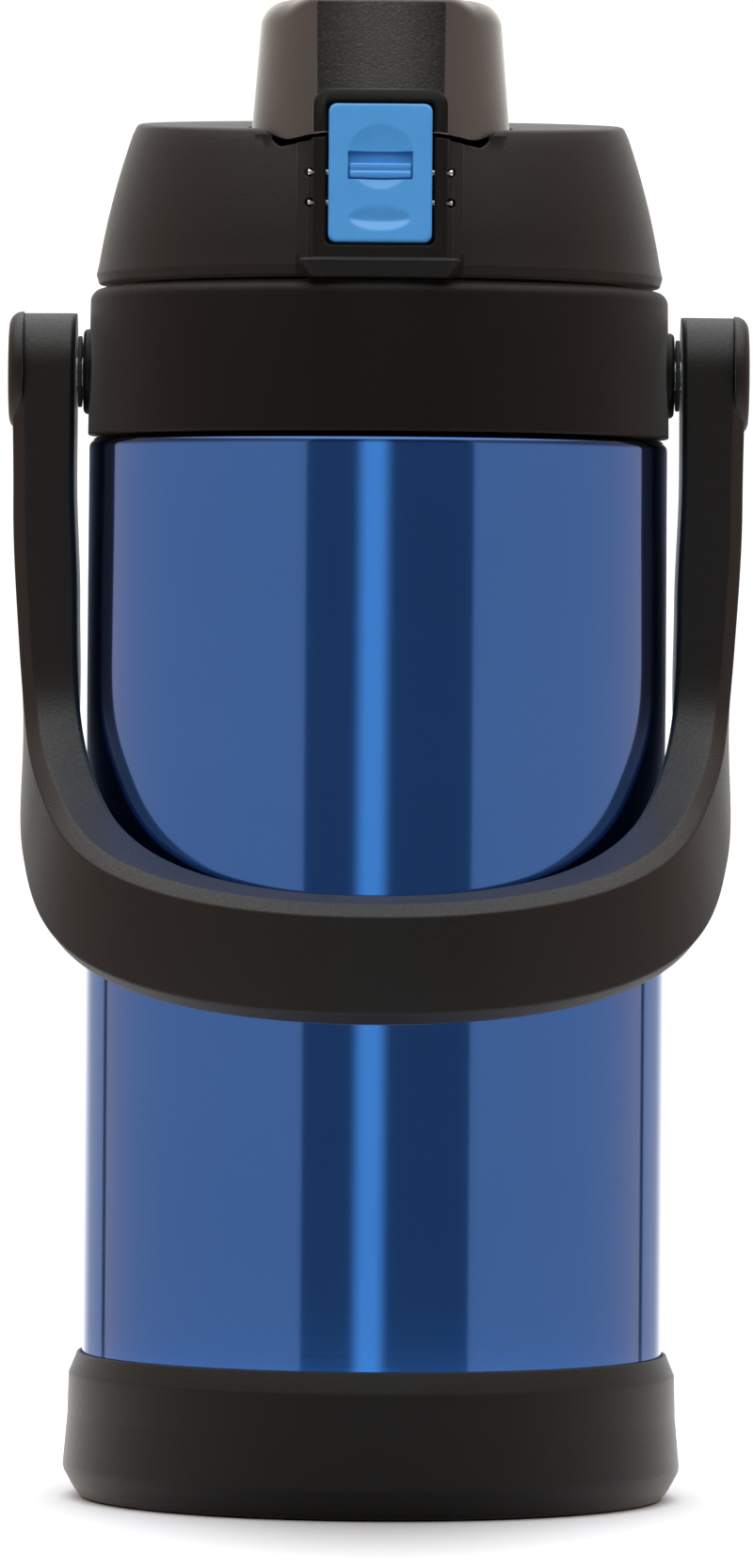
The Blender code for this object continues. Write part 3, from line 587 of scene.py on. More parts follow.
# ---- body ----
def outer_shell():
    """Steel tube, open at the foot, with a rounded shoulder and a filleted neck."""
    foot, top, edge, fillet = SHELL_LOW.z, SHOULDER_Z, SHOULDER_EDGE_R, NECK_FILLET_R
    neck_z = MOUTH_Z - 1.1
    wall_rings = 24
    in_edge, in_fillet = (BODY_R - edge, top - edge), (NECK_R + fillet, top + fillet)
    profile = [(BODY_R, foot)]
    profile += [(BODY_R, foot + (top - edge - foot) * i / wall_rings) for i in range(1, wall_rings)]
    profile += arc(in_edge, edge, 0, 90, 10)
    profile += arc(in_fillet, fillet, 270, 180, 6)
    profile += [(NECK_R, neck_z), (NECK_R - STEEL, neck_z)]
    profile += arc(in_fillet, fillet + STEEL, 180, 270, 6)
    profile += arc(in_edge, edge - STEEL, 90, 0, 8)
    profile += [(BODY_R - STEEL, foot)]
    piece("body_shell", turned(profile), LACQUER, "jug", "outer_shell", sharp=SHARP_SHELL)


def base_cup():
    """Chamfered cup round the foot, with a socket for the pad underneath."""
    top, inner, floor_z = CUP_HIGH.z - 0.1, BODY_R + 0.35, 4.1
    socket_r, socket_z = PAD_R + 0.4, PAD_TOP_Z + GAP
    corners = [(0, floor_z, 0), (inner, floor_z, 0.8), (inner, top, 0.15), (inner + 0.55, top + 0.1, 0.2)]
    corners += [(CUP_R - 1.15, 24.8, 1.6), (CUP_R - 0.95, 16.5, 4), (CUP_R, 5.9, 3.0)]
    corners += [(CUP_R - 2.2, 1.9, 1.5), (CUP_R - 3.6, 0.2, 0.4), (socket_r, 0.2, 0.2)]
    corners += [(socket_r, socket_z, 0.2), (0, socket_z, 0)]
    cup = turned(rounded(corners, 5, False))
    piece("base_shell", cup, BLACK_BASE, "jug", "base_cup")


def foot_pad():
    grooves, groove_step, groove_deep = 3, 6.0, 0.5
    corners = [(0, PAD_TOP_Z, 0), (PAD_R, PAD_TOP_Z, 0.2), (PAD_R, 0, 0.4)]
    for k in range(grooves):
        groove = PAD_R - groove_step * (k + 1)
        corners += [(groove + 0.8, 0, 0.1), (groove + 0.4, groove_deep, 0.1)]
        corners += [(groove - 0.4, groove_deep, 0.1), (groove - 0.8, 0, 0.1)]
    corners += [(0, 0, 0)]
    piece("foot_pad", turned(rounded(corners, 3, False), 128), RUBBER, "jug", "base_pad")


def thread_rib(root_r, tip_r, z0, start_angle):
    """Helical rib of trapezoid section, its root buried in the wall it joins."""
    half_root, half_tip, steps = 1.1, 0.6, 60
    section = ((root_r, -half_root), (tip_r, -half_tip), (tip_r, half_tip), (root_r, half_root))
    rings = []
    for i in range(steps + 1):
        turn = THREAD_ARC * i / steps
        z = z0 + THREAD_LEAD * turn / tau
        rings.append([Vector((*polar(r, start_angle + turn), z + dz)) for r, dz in section])
    return skin(rings)


def thread_ribs(root_r, tip_r, z0):
    """The two starts of the thread, on opposite sides."""
    return [thread_rib(root_r, tip_r, z0, THREAD_START + turn) for turn in (0.0, pi)]


def collar():
    """Ring on the neck, with the thread inside and a boss for each handle pivot."""
    low, high = COLLAR_LOW.z, COLLAR_HIGH.z
    seat, neck_bore = MOUTH_Z + 1.0, NECK_R + 1.0
    corners = [(49.5, low, 0.3), (COLLAR_R + 0.05, low, 0.45), (COLLAR_R - 0.35, high, 2.6)]
    corners += [(BORE_R, high, 0.6), (BORE_R, seat, 0.3), (neck_bore, seat, 0.3), (neck_bore, 216.6, 0.1)]
    bosses, holes = [], []
    for sign in (1, -1):
        boss = [(0, 53.5, 0), (BOSS_R, 53.5, 0), (BOSS_R, BOSS_X, 0.9), (0, BOSS_X, 0)]
        bosses.append(along_x(turned(rounded(boss, 6, False), 72, CUT_PHASE), sign, PIVOT))
        holes.append(along_x(rod(PIVOT_PIN_R + GAP, 53.0, 62.0, 32), sign, PIVOT))
    steps = add(*bosses, *thread_ribs(BORE_R + 0.8, BORE_R - 1.1, 234.6)) + cut(together(*holes))
    ring = turned(rounded(corners, 6))
    piece("collar_ring", ring, BLACK_COLLAR, "jug", "collar", steps)


# ---- lid ----
def cone_r(z):
    """Outer radius of the lid's slightly convex cone."""
    rise = z - CONE_FOOT_Z
    return LID_R - CONE_SLOPE * rise - CONE_BOW * rise * rise


def tilted(bm):
    """Leans the lid's top down to the front; the foot stays level."""
    for vert in bm.verts:
        share = max(0.0, (vert.co.z - TILT_FROM_Z) / (LID_TOP_Z - TILT_FROM_Z))
        vert.co.z += LID_TILT * vert.co.y * min(share, 1.0)
    return bm


def lid_revolve():
    """Hollow cone with the plain skirt below it."""
    roof_z, hollow_foot = 274.6, CONE_FOOT_Z + 0.5
    corners = [(0, LID_TOP_Z, 0), (49.0, LID_TOP_Z - 0.1, 1.3), (cone_r(274.5), 274.5, 0)]
    corners += [(cone_r(z), z, 0) for z in (272, 269, 266, 263, 260, 257, 254, 251, 248.5)]
    corners += [(LID_R + 0.15, CONE_FOOT_Z + 0.2, 0.9), (LID_R - 0.4, LID_FOOT_Z, 0.4)]
    corners += [(SKIRT_R, LID_FOOT_Z, 0.2), (SKIRT_R, SKIRT_Z, 0.3)]
    corners += [(SKIRT_IN_R, SKIRT_Z, 0.3), (SKIRT_IN_R, hollow_foot, 0)]
    corners += [(cone_r(z) - LID_WALL, z, 0) for z in (hollow_foot, 257.0, 268.5)]
    corners += [(47.3, roof_z, 0), (0, roof_z, 0)]
    return tilted(turned(rounded(corners, 7, False)))


def recess_pan():
    """Solid under the cover recess, kept inside the cone's outer face."""
    radius, limit = RECESS_R + 2.2, cone_r(LID_TOP_Z - 4.7) - 0.7
    sides = 96
    rings = []
    for z in (266.0, 275.8):
        ring = []
        for i in range(sides):
            x, y = polar(radius, CUT_PHASE + tau * i / sides)
            point = Vector((x, y + COVER_Y))
            if point.length > limit:
                point = point.normalized() * limit
            ring.append(Vector((point.x, point.y, z)))
        rings.append(ring)
    return tilted(skin(rings))


def latch_face_y(z, out):
    """Y of the leaning plane that lies out from the latch axle, at a height."""
    up = (z - LATCH.z - out * LEAN_SIN) / LEAN_COS
    return on_latch(0, up, out).y


def housing_point(x, lift, share):
    """Point at a share of the housing's height: lift 0 is on the cone, 1 on the front face."""
    foot, crest = 246.4, RECESS_Z + 0.15
    z = foot + (crest - crown(x) - foot) * share
    cone_y = -sqrt((cone_r(z) - 0.05) ** 2 - x * x)
    return Vector((x, cone_y + (latch_face_y(z, FRAME_N) - cone_y) * lift, z))


def latch_housing():
    """Block on the cone's front, with sides that flare into the cone and an arched top."""
    edge, levels = HOUSING_W / 2, 12
    rings = []
    for level in range(levels + 1):
        share = level / levels
        half = [housing_point(0.7, 1.0, share)]
        half += [housing_point(edge + outside, lift, share) for outside, lift in HOUSING_SIDE]
        half.append(Vector((edge + 3.3, HOUSING_BACK_Y, half[-1].z)))
        rings.append(mirrored(half[::-1]) + half)
    return skin(rings)


def sill():
    """Lip under the button that stands over the collar's edge."""
    front, tip, corner = -59.3, 14.6, 0.8
    side = [(SILL_HALF, SILL_BACK_Y, 0), (SILL_HALF, front + 1.6, corner), (tip, front, corner)]
    corners = [(-x, y, fillet) for x, y, fillet in side] + side[::-1]
    levels = (LID_FOOT_Z - 0.4, 1.7), (LID_FOOT_Z + 0.3, 1.2), (SILL_TOP_Z - 0.6, 0.0), (SILL_TOP_Z, 0.5)
    rings = []
    for z, inset in levels:
        fit = 1 - inset / SILL_HALF
        shape = [(x * fit, y + inset * (y < SILL_BACK_Y), fillet) for x, y, fillet in corners]
        rings.append([Vector((x, y, z)) for x, y in rounded(shape, 3)])
    return skin(rings)


def recess_cutter():
    """Round recess with an arched floor and a fillet round it that widens towards the front."""
    top, open_z, clearance = 292.0, 278.0, 0.25
    sides, floor_rings, fillet_rings = 120, 12, 8
    fillet_tall, fillet_wide, wide_by = 2.6, 0.6, 12.0
    levels = [(RECESS_R * k / floor_rings, RECESS_Z, 0.0) for k in range(1, floor_rings + 1)]
    for k in range(1, fillet_rings + 1):
        turn = pi / 2 * k / fillet_rings
        rise = fillet_tall * (1 - cos(turn))
        levels.append((RECESS_R, RECESS_Z + rise, fillet_wide * sin(turn)))
    levels += [(RECESS_R + clearance, z, fillet_wide) for z in (open_z, top)]
    rings = [[Vector((0, 0, RECESS_Z))]]
    for radius, z, spread in levels:
        ring = []
        arched = z < RECESS_Z + fillet_tall + 0.01
        for i in range(sides):
            x, y = polar(radius, CUT_PHASE + tau * i / sides)
            forward = min(max(-y / wide_by, 0.0), 1.0)
            widen = 1 + eased(forward, spread) / radius
            ring.append(Vector((x * widen, y * widen, z - crown(x) * arched)))
        rings.append(ring)
    rings.append([Vector((0, 0, top))])
    return to_cover_axis(skin(rings))


def hinge_ear(sign):
    """Ear with a round top about the hinge axis and softened sides."""
    radius, foot = 3.3, 275.6
    rings = []
    for x, inset in ((8.7, 0.3), (9.0, 0.0), (12.4, 0.0), (12.7, 0.3)):
        r = radius - inset
        outline = [(HINGE.y - r, foot), *arc((HINGE.y, HINGE.z), r, 180, 0, 20), (HINGE.y + r, foot)]
        rings.append([Vector((x * sign, y, z)) for y, z in outline])
    return skin(rings)


def button_pocket(low, high, back):
    """Cutter for the button's opening, flared at the front face."""
    half = BUTTON_W / 2 + BUTTON_GAP
    corner, flare, past = 1.2, 0.3, 3
    tight = box_outline(half, low, high, corner)
    wide = box_outline(half + flare, low - flare, high + flare, corner + flare)
    wider = box_outline(half + flare + past, low - flare - past, high + flare + past, corner + past + flare)
    return latch_slab([(tight, back), (tight, FRAME_N - flare), (wide, FRAME_N), (wider, FRAME_N + past)])


def lid_body():
    """Conical lid with the latch housing, sill, cover recess, hinge ears and thread."""
    eyes = []
    for pin in (LATCH, STOP_PIN):
        for side in (1, -1):
            place = Vector((PIN_EYE_X * side, pin.y, pin.z))
            eyes.append(along_y(rod(PIN_EYE_R, -0.5, 8.0, 24), place))
    knuckle_room, spout_hole = rod(3.8, -8.65, 8.65, 40), rod(SPOUT_R + 0.4, 260, 280, 64)
    steps = add(recess_pan(), latch_housing())
    steps += cut(together(*eyes), recess_cutter())
    steps += add(hinge_ear(1), hinge_ear(-1), sill())
    steps += cut(along_x(knuckle_room, 1, HINGE), to_cover_axis(spout_hole))
    steps += cut(button_pocket(BUTTON_LOW - BUTTON_GAP, 24.0, -3.8))
    steps += add(together(*thread_ribs(SKIRT_R - 0.8, SKIRT_R + 1.3, 231.5)))
    lid = piece("lid_shell", lid_revolve(), BLACK, "lid", "lid_body", steps, SHARP_CUT)
    lid.data.materials.append(BLACK_FRAME)
    for face in lid.data.polygons:
        x, y, z = face.center / MM
        on_frame = abs(x) < HOUSING_W / 2 + 0.7 and y < latch_face_y(z, FRAME_N) + 4.0
        on_sill = abs(x) < SILL_HALF + 0.2 and z < SILL_TOP_Z + 0.05 and y < SILL_BACK_Y - 1.0
        if z < RECESS_Z and (on_frame or on_sill):
            face.material_index = 1


def spout():
    """Tube with a thick lip and a flange that rests on the recess floor."""
    foot, tip, bore = SPOUT_LOW.z, SPOUT_TOP_Z, SPOUT_BORE_R
    lip_r, flange_r, flange_z = SPOUT_BORE_R + 2.8, 16.5, RECESS_Z + GAP
    corners = [(bore, foot, 0), (bore, tip, 1.0), (lip_r, tip, 1.1), (lip_r, tip - 4.5, 1.5)]
    corners += [(SPOUT_R, tip - 6.5, 2.0), (SPOUT_R, flange_z + 2, 1.5), (flange_r, flange_z + 1.2, 0.5)]
    corners += [(flange_r, flange_z, 0.2), (SPOUT_R, flange_z, 0), (SPOUT_R, foot, 0)]
    tube = to_cover_axis(turned(rounded(corners, 5), 96))
    piece("drinking_spout", tube, BLACK_GLOSS, "lid", "spout")


# ---- flip cover ----
def quadratic(a, b, c, t):
    """Quadratic curve from a to c."""
    return a * (1 - t) ** 2 + b * 2 * t * (1 - t) + c * t * t


def flat_round(radius, flat):
    """Circle with its front cut by a flat; each point carries its share of roundness."""
    soften = 0.4
    half = acos(flat / radius)
    reach = radius * sin(half)
    arc_steps, flat_steps, crease_steps = 120, 26, 4
    trim = soften / radius
    sweep = tau - 2 * half - 2 * trim
    fade = radians(24)
    points = []
    for i in range(arc_steps + 1):
        away = sweep * i / arc_steps
        near = min(away, sweep - away) / fade
        place = Vector(polar(radius, -pi / 2 + half + trim + away))
        points.append((place, eased(min(near, 1.0))))
    left = points[-1][0], Vector((-reach, -flat)), Vector((-reach + soften, -flat))
    right = Vector((reach - soften, -flat)), Vector((reach, -flat)), points[0][0]
    points += [(quadratic(*left, i / crease_steps), 0.0) for i in range(1, crease_steps)]
    points += [(left[2].lerp(right[0], i / flat_steps), 0.0) for i in range(flat_steps + 1)]
    points += [(quadratic(*right, i / crease_steps), 0.0) for i in range(1, crease_steps)]
    return points


def cover_dip(x):
    """Drop of the cover's lower edge: it follows the recess floor, then curls up at the sides."""
    share = min(max((abs(x) - DIP_X) / (COVER_R - DIP_X), 0.0), 1.0)
    return crown(x) - eased(share, DIP_RISE)


def cover_level(z, inset=0.0):
    """Radius and flat distance of the cover's side at a height."""
    share = (z - RECESS_Z) / (COVER_TOP_Z - COVER_EDGE_R - RECESS_Z)
    radius = COVER_R + (COVER_TOP_R - COVER_R) * share - inset
    return radius, COVER_FLAT + (COVER_TOP_FLAT - COVER_FLAT) * share - inset


def cover_edge_r(ease):
    return COVER_FLAT_EDGE_R + (COVER_EDGE_R - COVER_FLAT_EDGE_R) * ease


def cover_side(foot, rise):
    """Ring at a share of the height up the side, which is taller over the flat."""
    ring = []
    for i, (_, ease) in enumerate(flat_round(*cover_level(foot))):
        edge = cover_edge_r(ease)
        z = foot + (COVER_TOP_Z - edge - foot) * rise
        x, y = flat_round(*cover_level(z))[i][0]
        ring.append(Vector((x, y + COVER_Y, z - cover_dip(x) * (1 - rise))))
    return ring


def cover_bend(came_in, to_go):
    """Ring part way round the rounded top edge."""
    ring = []
    for i, (_, ease) in enumerate(flat_round(*cover_level(COVER_TOP_Z - COVER_EDGE_R))):
        edge = cover_edge_r(ease)
        x, y = flat_round(*cover_level(COVER_TOP_Z - edge))[i][0]
        fit = 1 - edge * came_in / hypot(x, y)
        ring.append(Vector((x * fit, y * fit + COVER_Y, COVER_TOP_Z - edge * to_go)))
    return ring


def cover_skin():
    """Shell of the cover: its inside from the roof down, then its side and rounded edge."""
    foot, side_rings, bend_rings, roof_rings = COVER_FOOT_Z, 12, 9, 4
    side = [cover_side(foot, k / side_rings) for k in range(side_rings + 1)]
    bend = [cover_bend(*quarter(k, bend_rings)) for k in range(1, bend_rings + 1)]
    inner = []
    for rise in (0.0, 0.25, 0.5, 0.75, 1.0):
        z = foot + (COVER_TOP_Z - COVER_EDGE_R - foot) * rise
        points = flat_round(*cover_level(z, COVER_WALL))
        inner.append([Vector((p.x, p.y + COVER_Y, z - cover_dip(p.x) * (1 - rise))) for p, _ in points])
    top_ring = inner[-1]
    centre = Vector((0, COVER_Y, 0))
    for k in range(1, roof_rings + 1):
        turn = pi / 2 * k / roof_rings
        shrink = 1 - (COVER_EDGE_R - COVER_WALL) * (1 - cos(turn)) / COVER_TOP_R
        lift = (COVER_EDGE_R - COVER_WALL) * sin(turn)
        inner.append([Vector((*((p - centre) * shrink + centre).xy, p.z + lift)) for p in top_ring])
    return skin(inner[::-1] + side + bend)


def arch_plate():
    """Arch over the top half of the button, flush with the latch housing."""
    corner, round_from = 3.2, 5.0
    levels = []
    for out, inset in ((-2.2, 0.0), (FRAME_N - 0.6, 0.0), (FRAME_N - 0.18, 0.18), (FRAME_N, 0.6)):
        side = HOUSING_W / 2 - inset
        outline = box_outline(side, 0.0, ARCH_TOP - inset, corner - inset, 8)
        outline = [point for point in outline if point[1] > round_from]
        for x in (-side, -side / 2, 0.0, side / 2, side):
            drop = COVER_FOOT_Z - crown(x) - LATCH.z
            outline.append((x, (drop - out * LEAN_SIN) / LEAN_COS))
        levels.append((outline, out))
    return latch_slab(levels)


def flip_cover():
    """Cover shell with its arch, hinge knuckles, and room for the button and its hook."""
    steps = add(arch_plate())
    for sign in (1, -1):
        x0, x1 = sorted((4.2 * sign, 8.3 * sign))
        steps += add(block((x0, -5.0, 278.2), (x1, HINGE.y, 282.2)))
        steps += add(along_x(rod(3.2, x0, x1, 40), 1, HINGE))
    channel = box_outline(4.7, -2.0, 12.3)
    steps += cut(button_pocket(-8.0, BUTTON_HIGH + BUTTON_GAP, 0.9))
    steps += cut(latch_slab([(channel, -1.0), (channel, 2.0)]))
    cover = piece("cover_shell", cover_skin(), BLACK_COVER, "cover", "flip_cover", steps, SHARP_CUT)
    cover.data.materials.append(BLACK_FACET)
    cover.data.materials.append(BLACK_FRAME)
    pocket_half = BUTTON_W / 2 + BUTTON_GAP + 0.4
    for face in cover.data.polygons:
        middle = face.center / MM
        across, up, out = latch_place(middle)
        on_flat = face.normal.y < -0.97 and abs(across) < 13.5 and middle.y < COVER_Y - 20
        on_arch = abs(across) < HOUSING_W / 2 + 0.01 and up < ARCH_TOP + 0.01 and 0.5 < out < FRAME_N + 0.01
        stands_out = middle.y < COVER_Y - cover_level(middle.z)[1] - 0.05
        in_pocket = abs(across) < pocket_half and up < BUTTON_HIGH + 1.0 and 0.5 < out < FRAME_N
        if in_pocket or on_arch and stands_out:
            face.material_index = 2
        elif on_flat:
            face.material_index = 1


def cover_inside():
    """Holder under the cover's roof, and the plug in it that closes the spout."""
    roof_z, seat_z, rim_z = COVER_TOP_Z - COVER_WALL - GAP, 295.0, 291.9
    corners = [(0, roof_z, 0), (15, roof_z, 0.5), (15, rim_z, 0.4)]
    corners += [(13.8, rim_z, 0.4), (13.8, seat_z, 0.2), (0, seat_z, 0)]
    holder = to_cover_axis(turned(rounded(corners, 4, False), 72))
    piece("cover_holder", holder, GREY_LINER, "cover", "cover_liner")
    corners = [(0, 294.7, 0), (13.5, 294.7, 0.2), (13.5, 291.5, 0.5)]
    corners += [(10.4, 291.3, 0.5), (9.8, 292.2, 0.3), (0, 292.2, 0)]
    plug = to_cover_axis(turned(rounded(corners, 4, False), 72))
    piece("spout_plug", plug, SILICONE, "cover", "cover_seal")


# ---- latch ----
def button_relief(x, up):
    """Depth of the button's round finger dish and of the thumb scoop below it."""
    dish_r, dish_up, dish_depth = 6.6, 2.3, 0.8
    scoop_half, scoop_up, scoop_tall, scoop_depth = 6.0, -10.0, 2.7, 0.65
    turn_back = 0.62  # share of the way down the scoop where it is deepest
    away = hypot(x, up - dish_up) / dish_r
    relief = dish_depth * (1 - away * away) if away < 1 else 0.0
    if abs(x) < scoop_half:
        across = sqrt(1 - (x / scoop_half) ** 2)
        down = (scoop_up + scoop_tall * across - up) / (2 * scoop_tall * across)
        if 0 < down < turn_back:
            relief += eased(down / turn_back, scoop_depth * across)
        elif turn_back <= down < 1:
            relief += scoop_depth * across * (1 - down) / (1 - turn_back)
    return relief


def filled(outline, step):
    """The outline with points added along its long stretches."""
    points = []
    for i, (x, y) in enumerate(outline):
        nx, ny = outline[(i + 1) % len(outline)]
        parts = max(1, round(hypot(nx - x, ny - y) / step))
        points += [(x + (nx - x) * k / parts, y + (ny - y) * k / parts) for k in range(parts)]
    return points


def button_face():
    """Plate of the button: a rounded edge, and shrinking rings that carry the relief."""
    half, edge, face_rings, edge_rings = BUTTON_W / 2, 0.5, 44, 4
    middle = (BUTTON_LOW + BUTTON_HIGH) / 2
    outline = filled(box_outline(half, BUTTON_LOW, BUTTON_HIGH, 1.6, 6), 0.45)
    rings = [[on_latch(x, up, 1.2) for x, up in outline]]
    for k in range(edge_rings + 1):
        inset, drop = (edge * share for share in quarter(k, edge_rings))
        fit = 1 - inset / half
        tall = 1 - inset / (BUTTON_HIGH - middle)
        rings.append([on_latch(x * fit, middle + (up - middle) * tall, BUTTON_N - drop) for x, up in outline])
    fit = 1 - edge / half
    tall = 1 - edge / (BUTTON_HIGH - middle)
    for k in range(1, face_rings):
        share = 1 - k / face_rings
        ring = []
        for x, up in outline:
            px, pu = x * fit * share, middle + (up - middle) * tall * share
            ring.append(on_latch(px, pu, BUTTON_N - button_relief(px, pu)))
        rings.append(ring)
    rings.append([on_latch(0, middle, BUTTON_N - button_relief(0, middle))])
    return skin(rings)


def latch_button():
    """Button with the slider's window and slot, its sleeve on the axle, and the hook."""
    window = box_outline(WINDOW_HALF, WINDOW_LOW, WINDOW_HIGH, 0.35, 3)
    slot = box_outline(WINDOW_HALF + 0.9, WINDOW_LOW, WINDOW_HIGH)
    hook = box_outline(4.0, 8.6, 11.6, 0.4, 3)
    steps = cut(latch_slab([(window, WINDOW_N), (window, 6.0)]), latch_slab([(slot, 2.2), (slot, 2.7)]))
    steps += add(along_x(rod(2.1, -8, 8, 32), 1, LATCH), latch_slab([(hook, -0.5), (hook, 1.8)]))
    steps += cut(along_x(rod(1.0, -10, 10, 20), 1, LATCH))
    plate = button_face()
    button = piece("push_button", plate, BUTTON_BLUE, "latch", "latch_button", steps, SHARP_CUT)
    button.data.materials.append(WINDOW_SHADE_BLUE)
    # Faces inside the window get the darker blue: painted shade in the recess.
    for face in button.data.polygons:
        across, up, out = latch_place(face.center / MM)
        inside = abs(across) < WINDOW_HALF + 0.01 and WINDOW_LOW - 0.01 < up < WINDOW_HIGH + 0.01
        inside = inside and 2.0 < out < 3.6
        upright = abs(face.normal.x) > 0.5 or abs(face.normal.z) > 0.6
        if inside and (out < 2.7 or upright):
            face.material_index = 1


def lock_slider():
    """Bar with rounded long edges and a shallow groove along its middle."""
    low, high, base = -1.95, 1.15, 2.45
    top, half_tall, middle = BUTTON_N - 0.2, 1.55, (low + high) / 2
    corners = [(low, base, 0), (low, top, 0.45), (low + 1.05, top, 0.3), (low + 1.55, top - 0.22, 0.3)]
    corners += [(low + 2.05, top, 0.3), (high, top, 0.45), (high, base, 0)]
    section = rounded(corners, 5)
    rings = []
    for x, inset in ((-6.1, 0.25), (-5.85, 0.0), (5.85, 0.0), (6.1, 0.25)):
        ring = []
        for up, out in section:
            near = middle + (up - middle) * (1 - inset / half_tall)
            ring.append(on_latch(x, near, out - inset * (out > 3)))
        rings.append(ring)
    piece("lock_bar", skin(rings), SLIDER_BLUE, "lock", "lock_slider", sharp=SHARP_CUT)


def latch_spring():
    """Coil behind the button, on a mesh of its own."""
    turns, per_turn, sides = 4, 24, 8
    coil_r, wire_r, length = 1.7, 0.25, 3.6
    up_at, seat_out = -11.0, -3.1
    steps = turns * per_turn
    rings = []
    for i in range(steps + 1):
        angle = tau * i / per_turn
        out = seat_out + length * i / steps
        ring = []
        for k in range(sides):
            dr, dn = polar(wire_r, tau * k / sides)
            x, up = polar(coil_r + dr, angle)
            ring.append(on_latch(x, up_at + up, out + dn))
        rings.append(ring)
    coil = skin(rings)
    spring = piece("button_spring", coil, STEEL_LOOK, "lid", "latch_spring", sharp=SHARP_CUT)
    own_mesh(spring)


def cross_pins():
    """The two pins, whose domed ends show in the eyes of the housing's sides."""
    half = HOUSING_W / 2 + 1.0
    for name, node, at in (("axle_pin", "latch_pin", LATCH), ("stop_pin", "latch_stop_pin", STOP_PIN)):
        corners = [(0, -half, 0), (CROSS_PIN_R, -half, 0.3), (CROSS_PIN_R, half, 0.3), (0, half, 0)]
        pin = along_x(turned(rounded(corners, 4, False), 32), 1, at)
        piece(name, pin, STEEL_LOOK, "lid", node)


# ---- handle ----
def bezier(a, b, c, d, t):
    """Cubic curve from a to d."""
    s = 1 - t
    return a * s**3 + b * 3 * s * s * t + c * 3 * s * t * t + d * t**3


def strap_path():
    """Half the strap's centre line as (distance round the body, height), from the front upwards."""
    side = WRAP_R * pi / 2
    arm_low, arm_high = 170, 212
    front_steps, bend_steps, arm_steps = 48, 30, 14
    front = [Vector(p) for p in ((0, 109.9), (38, 109.9), (66, 118), (84, 134))]
    bend = [Vector(p) for p in ((84, 134), (96, 144.5), (side, 152), (side, arm_low))]
    points = [bezier(*front, i / front_steps) for i in range(front_steps)]
    points += [bezier(*bend, i / bend_steps) for i in range(bend_steps)]
    points += [Vector((side, arm_low + (arm_high - arm_low) * i / arm_steps)) for i in range(arm_steps + 1)]
    return points


def smooth_blend(stops, value):
    """Eased value between (position, value) stops."""
    for (a, va), (b, vb) in zip(stops, stops[1:]):
        if value <= b:
            return va + eased((value - a) / (b - a), vb - va)
    return stops[-1][1]


def strap_section(point, heading, w):
    """Bevelled section square to the strap, of half width w."""
    turn = point.x / WRAP_R
    inner, outer = smooth_blend(INNER_FACE, point.y), smooth_blend(OUTER_FACE, point.y)
    out = Vector((sin(turn), -cos(turn), 0))
    around = Vector((cos(turn), sin(turn), 0))
    across = Vector((0, 0, 1)) * heading.x - around * heading.y
    fit = min(1.0, w / 6.0)
    corners = [(inner + 0.9, w, 0.5 * fit), (outer - 2.5, w - 1.3, 0.7 * fit)]
    corners += [(outer, w - 3.9 * fit, 0.9 * fit), (outer, 2.5 * fit - w, 0.9 * fit)]
    corners += [(outer - 2.3, 0.4 - w, 0.7 * fit), (inner + 0.9, -w, 0.5 * fit)]
    corners += [(inner, 0.9 * fit - w, 0.5 * fit), (inner, w - 0.9 * fit, 0.5 * fit)]
    base = Vector((0, 0, point.y))
    return [base + out * n + across * c for n, c in rounded(corners, 4)]


def strap():
    """Swept handle: from the front up one side, rounded off over the pivot, and mirrored."""
    path = strap_path()
    rings = []
    for i, point in enumerate(path):
        before = path[i - 1] if i else Vector((-path[1].x, path[1].y))
        after = path[i + 1] if i + 1 < len(path) else point + Vector((0, 1))
        half_w = smooth_blend(HALF_WIDTH, point.y)
        rings.append(strap_section(point, (after - before).normalized(), half_w))
    side = path[-1].x
    for degrees in range(0, 76, 5):
        half_w = cos(radians(degrees)) * ARM_END_R
        rise = sin(radians(degrees)) * ARM_END_R
        rings.append(strap_section(Vector((side, PIVOT.z + rise)), Vector((0, 1)), half_w))
    left = [mirrored(ring) for ring in rings[:0:-1]]
    return skin(left + rings)


def handle():
    """Handle with its stepped pivot holes, and each pivot's cap and slip washer."""
    bore, cap_room, head_r, head_x, cap_x = PIVOT_PIN_R + GAP, CAP_R + GAP, 6.0, 68.5, 71.6
    hole = [(0, 55), (bore, 55), (bore, head_x), (head_r, head_x)]
    hole += [(head_r, cap_x), (cap_room, cap_x), (cap_room, 80), (0, 80)]
    steps = cut(*(along_x(turned(hole, 96, CUT_PHASE), sign, PIVOT) for sign in (1, -1)))
    piece("swing_handle", strap(), BLACK_GRIP, "handle", "handle", steps, SHARP_CUT)
    washer_r, washer_in, washer_out = 7.2, BOSS_X + GAP, 60.7
    for sign, side in ((1, "right"), (-1, "left")):
        corners = [(0, 71.65, 0), (CAP_R, 71.65, 0.1), (CAP_R, CAP_X, 2.7), (0, CAP_X, 0)]
        cap = along_x(turned(rounded(corners, 6, False), 96), sign, PIVOT)
        piece(f"pivot_cap_{side}", cap, BLACK_GRIP, "handle", f"handle_cap_{side}")
        corners = [(bore, washer_in, 0), (washer_r, washer_in, 0.2)]
        corners += [(washer_r, washer_out, 0.2), (bore, washer_out, 0)]
        ring = along_x(turned(rounded(corners, 2), 64), sign, PIVOT)
        piece(f"slip_ring_{side}", ring, RUBBER, "handle", f"handle_washer_{side}")


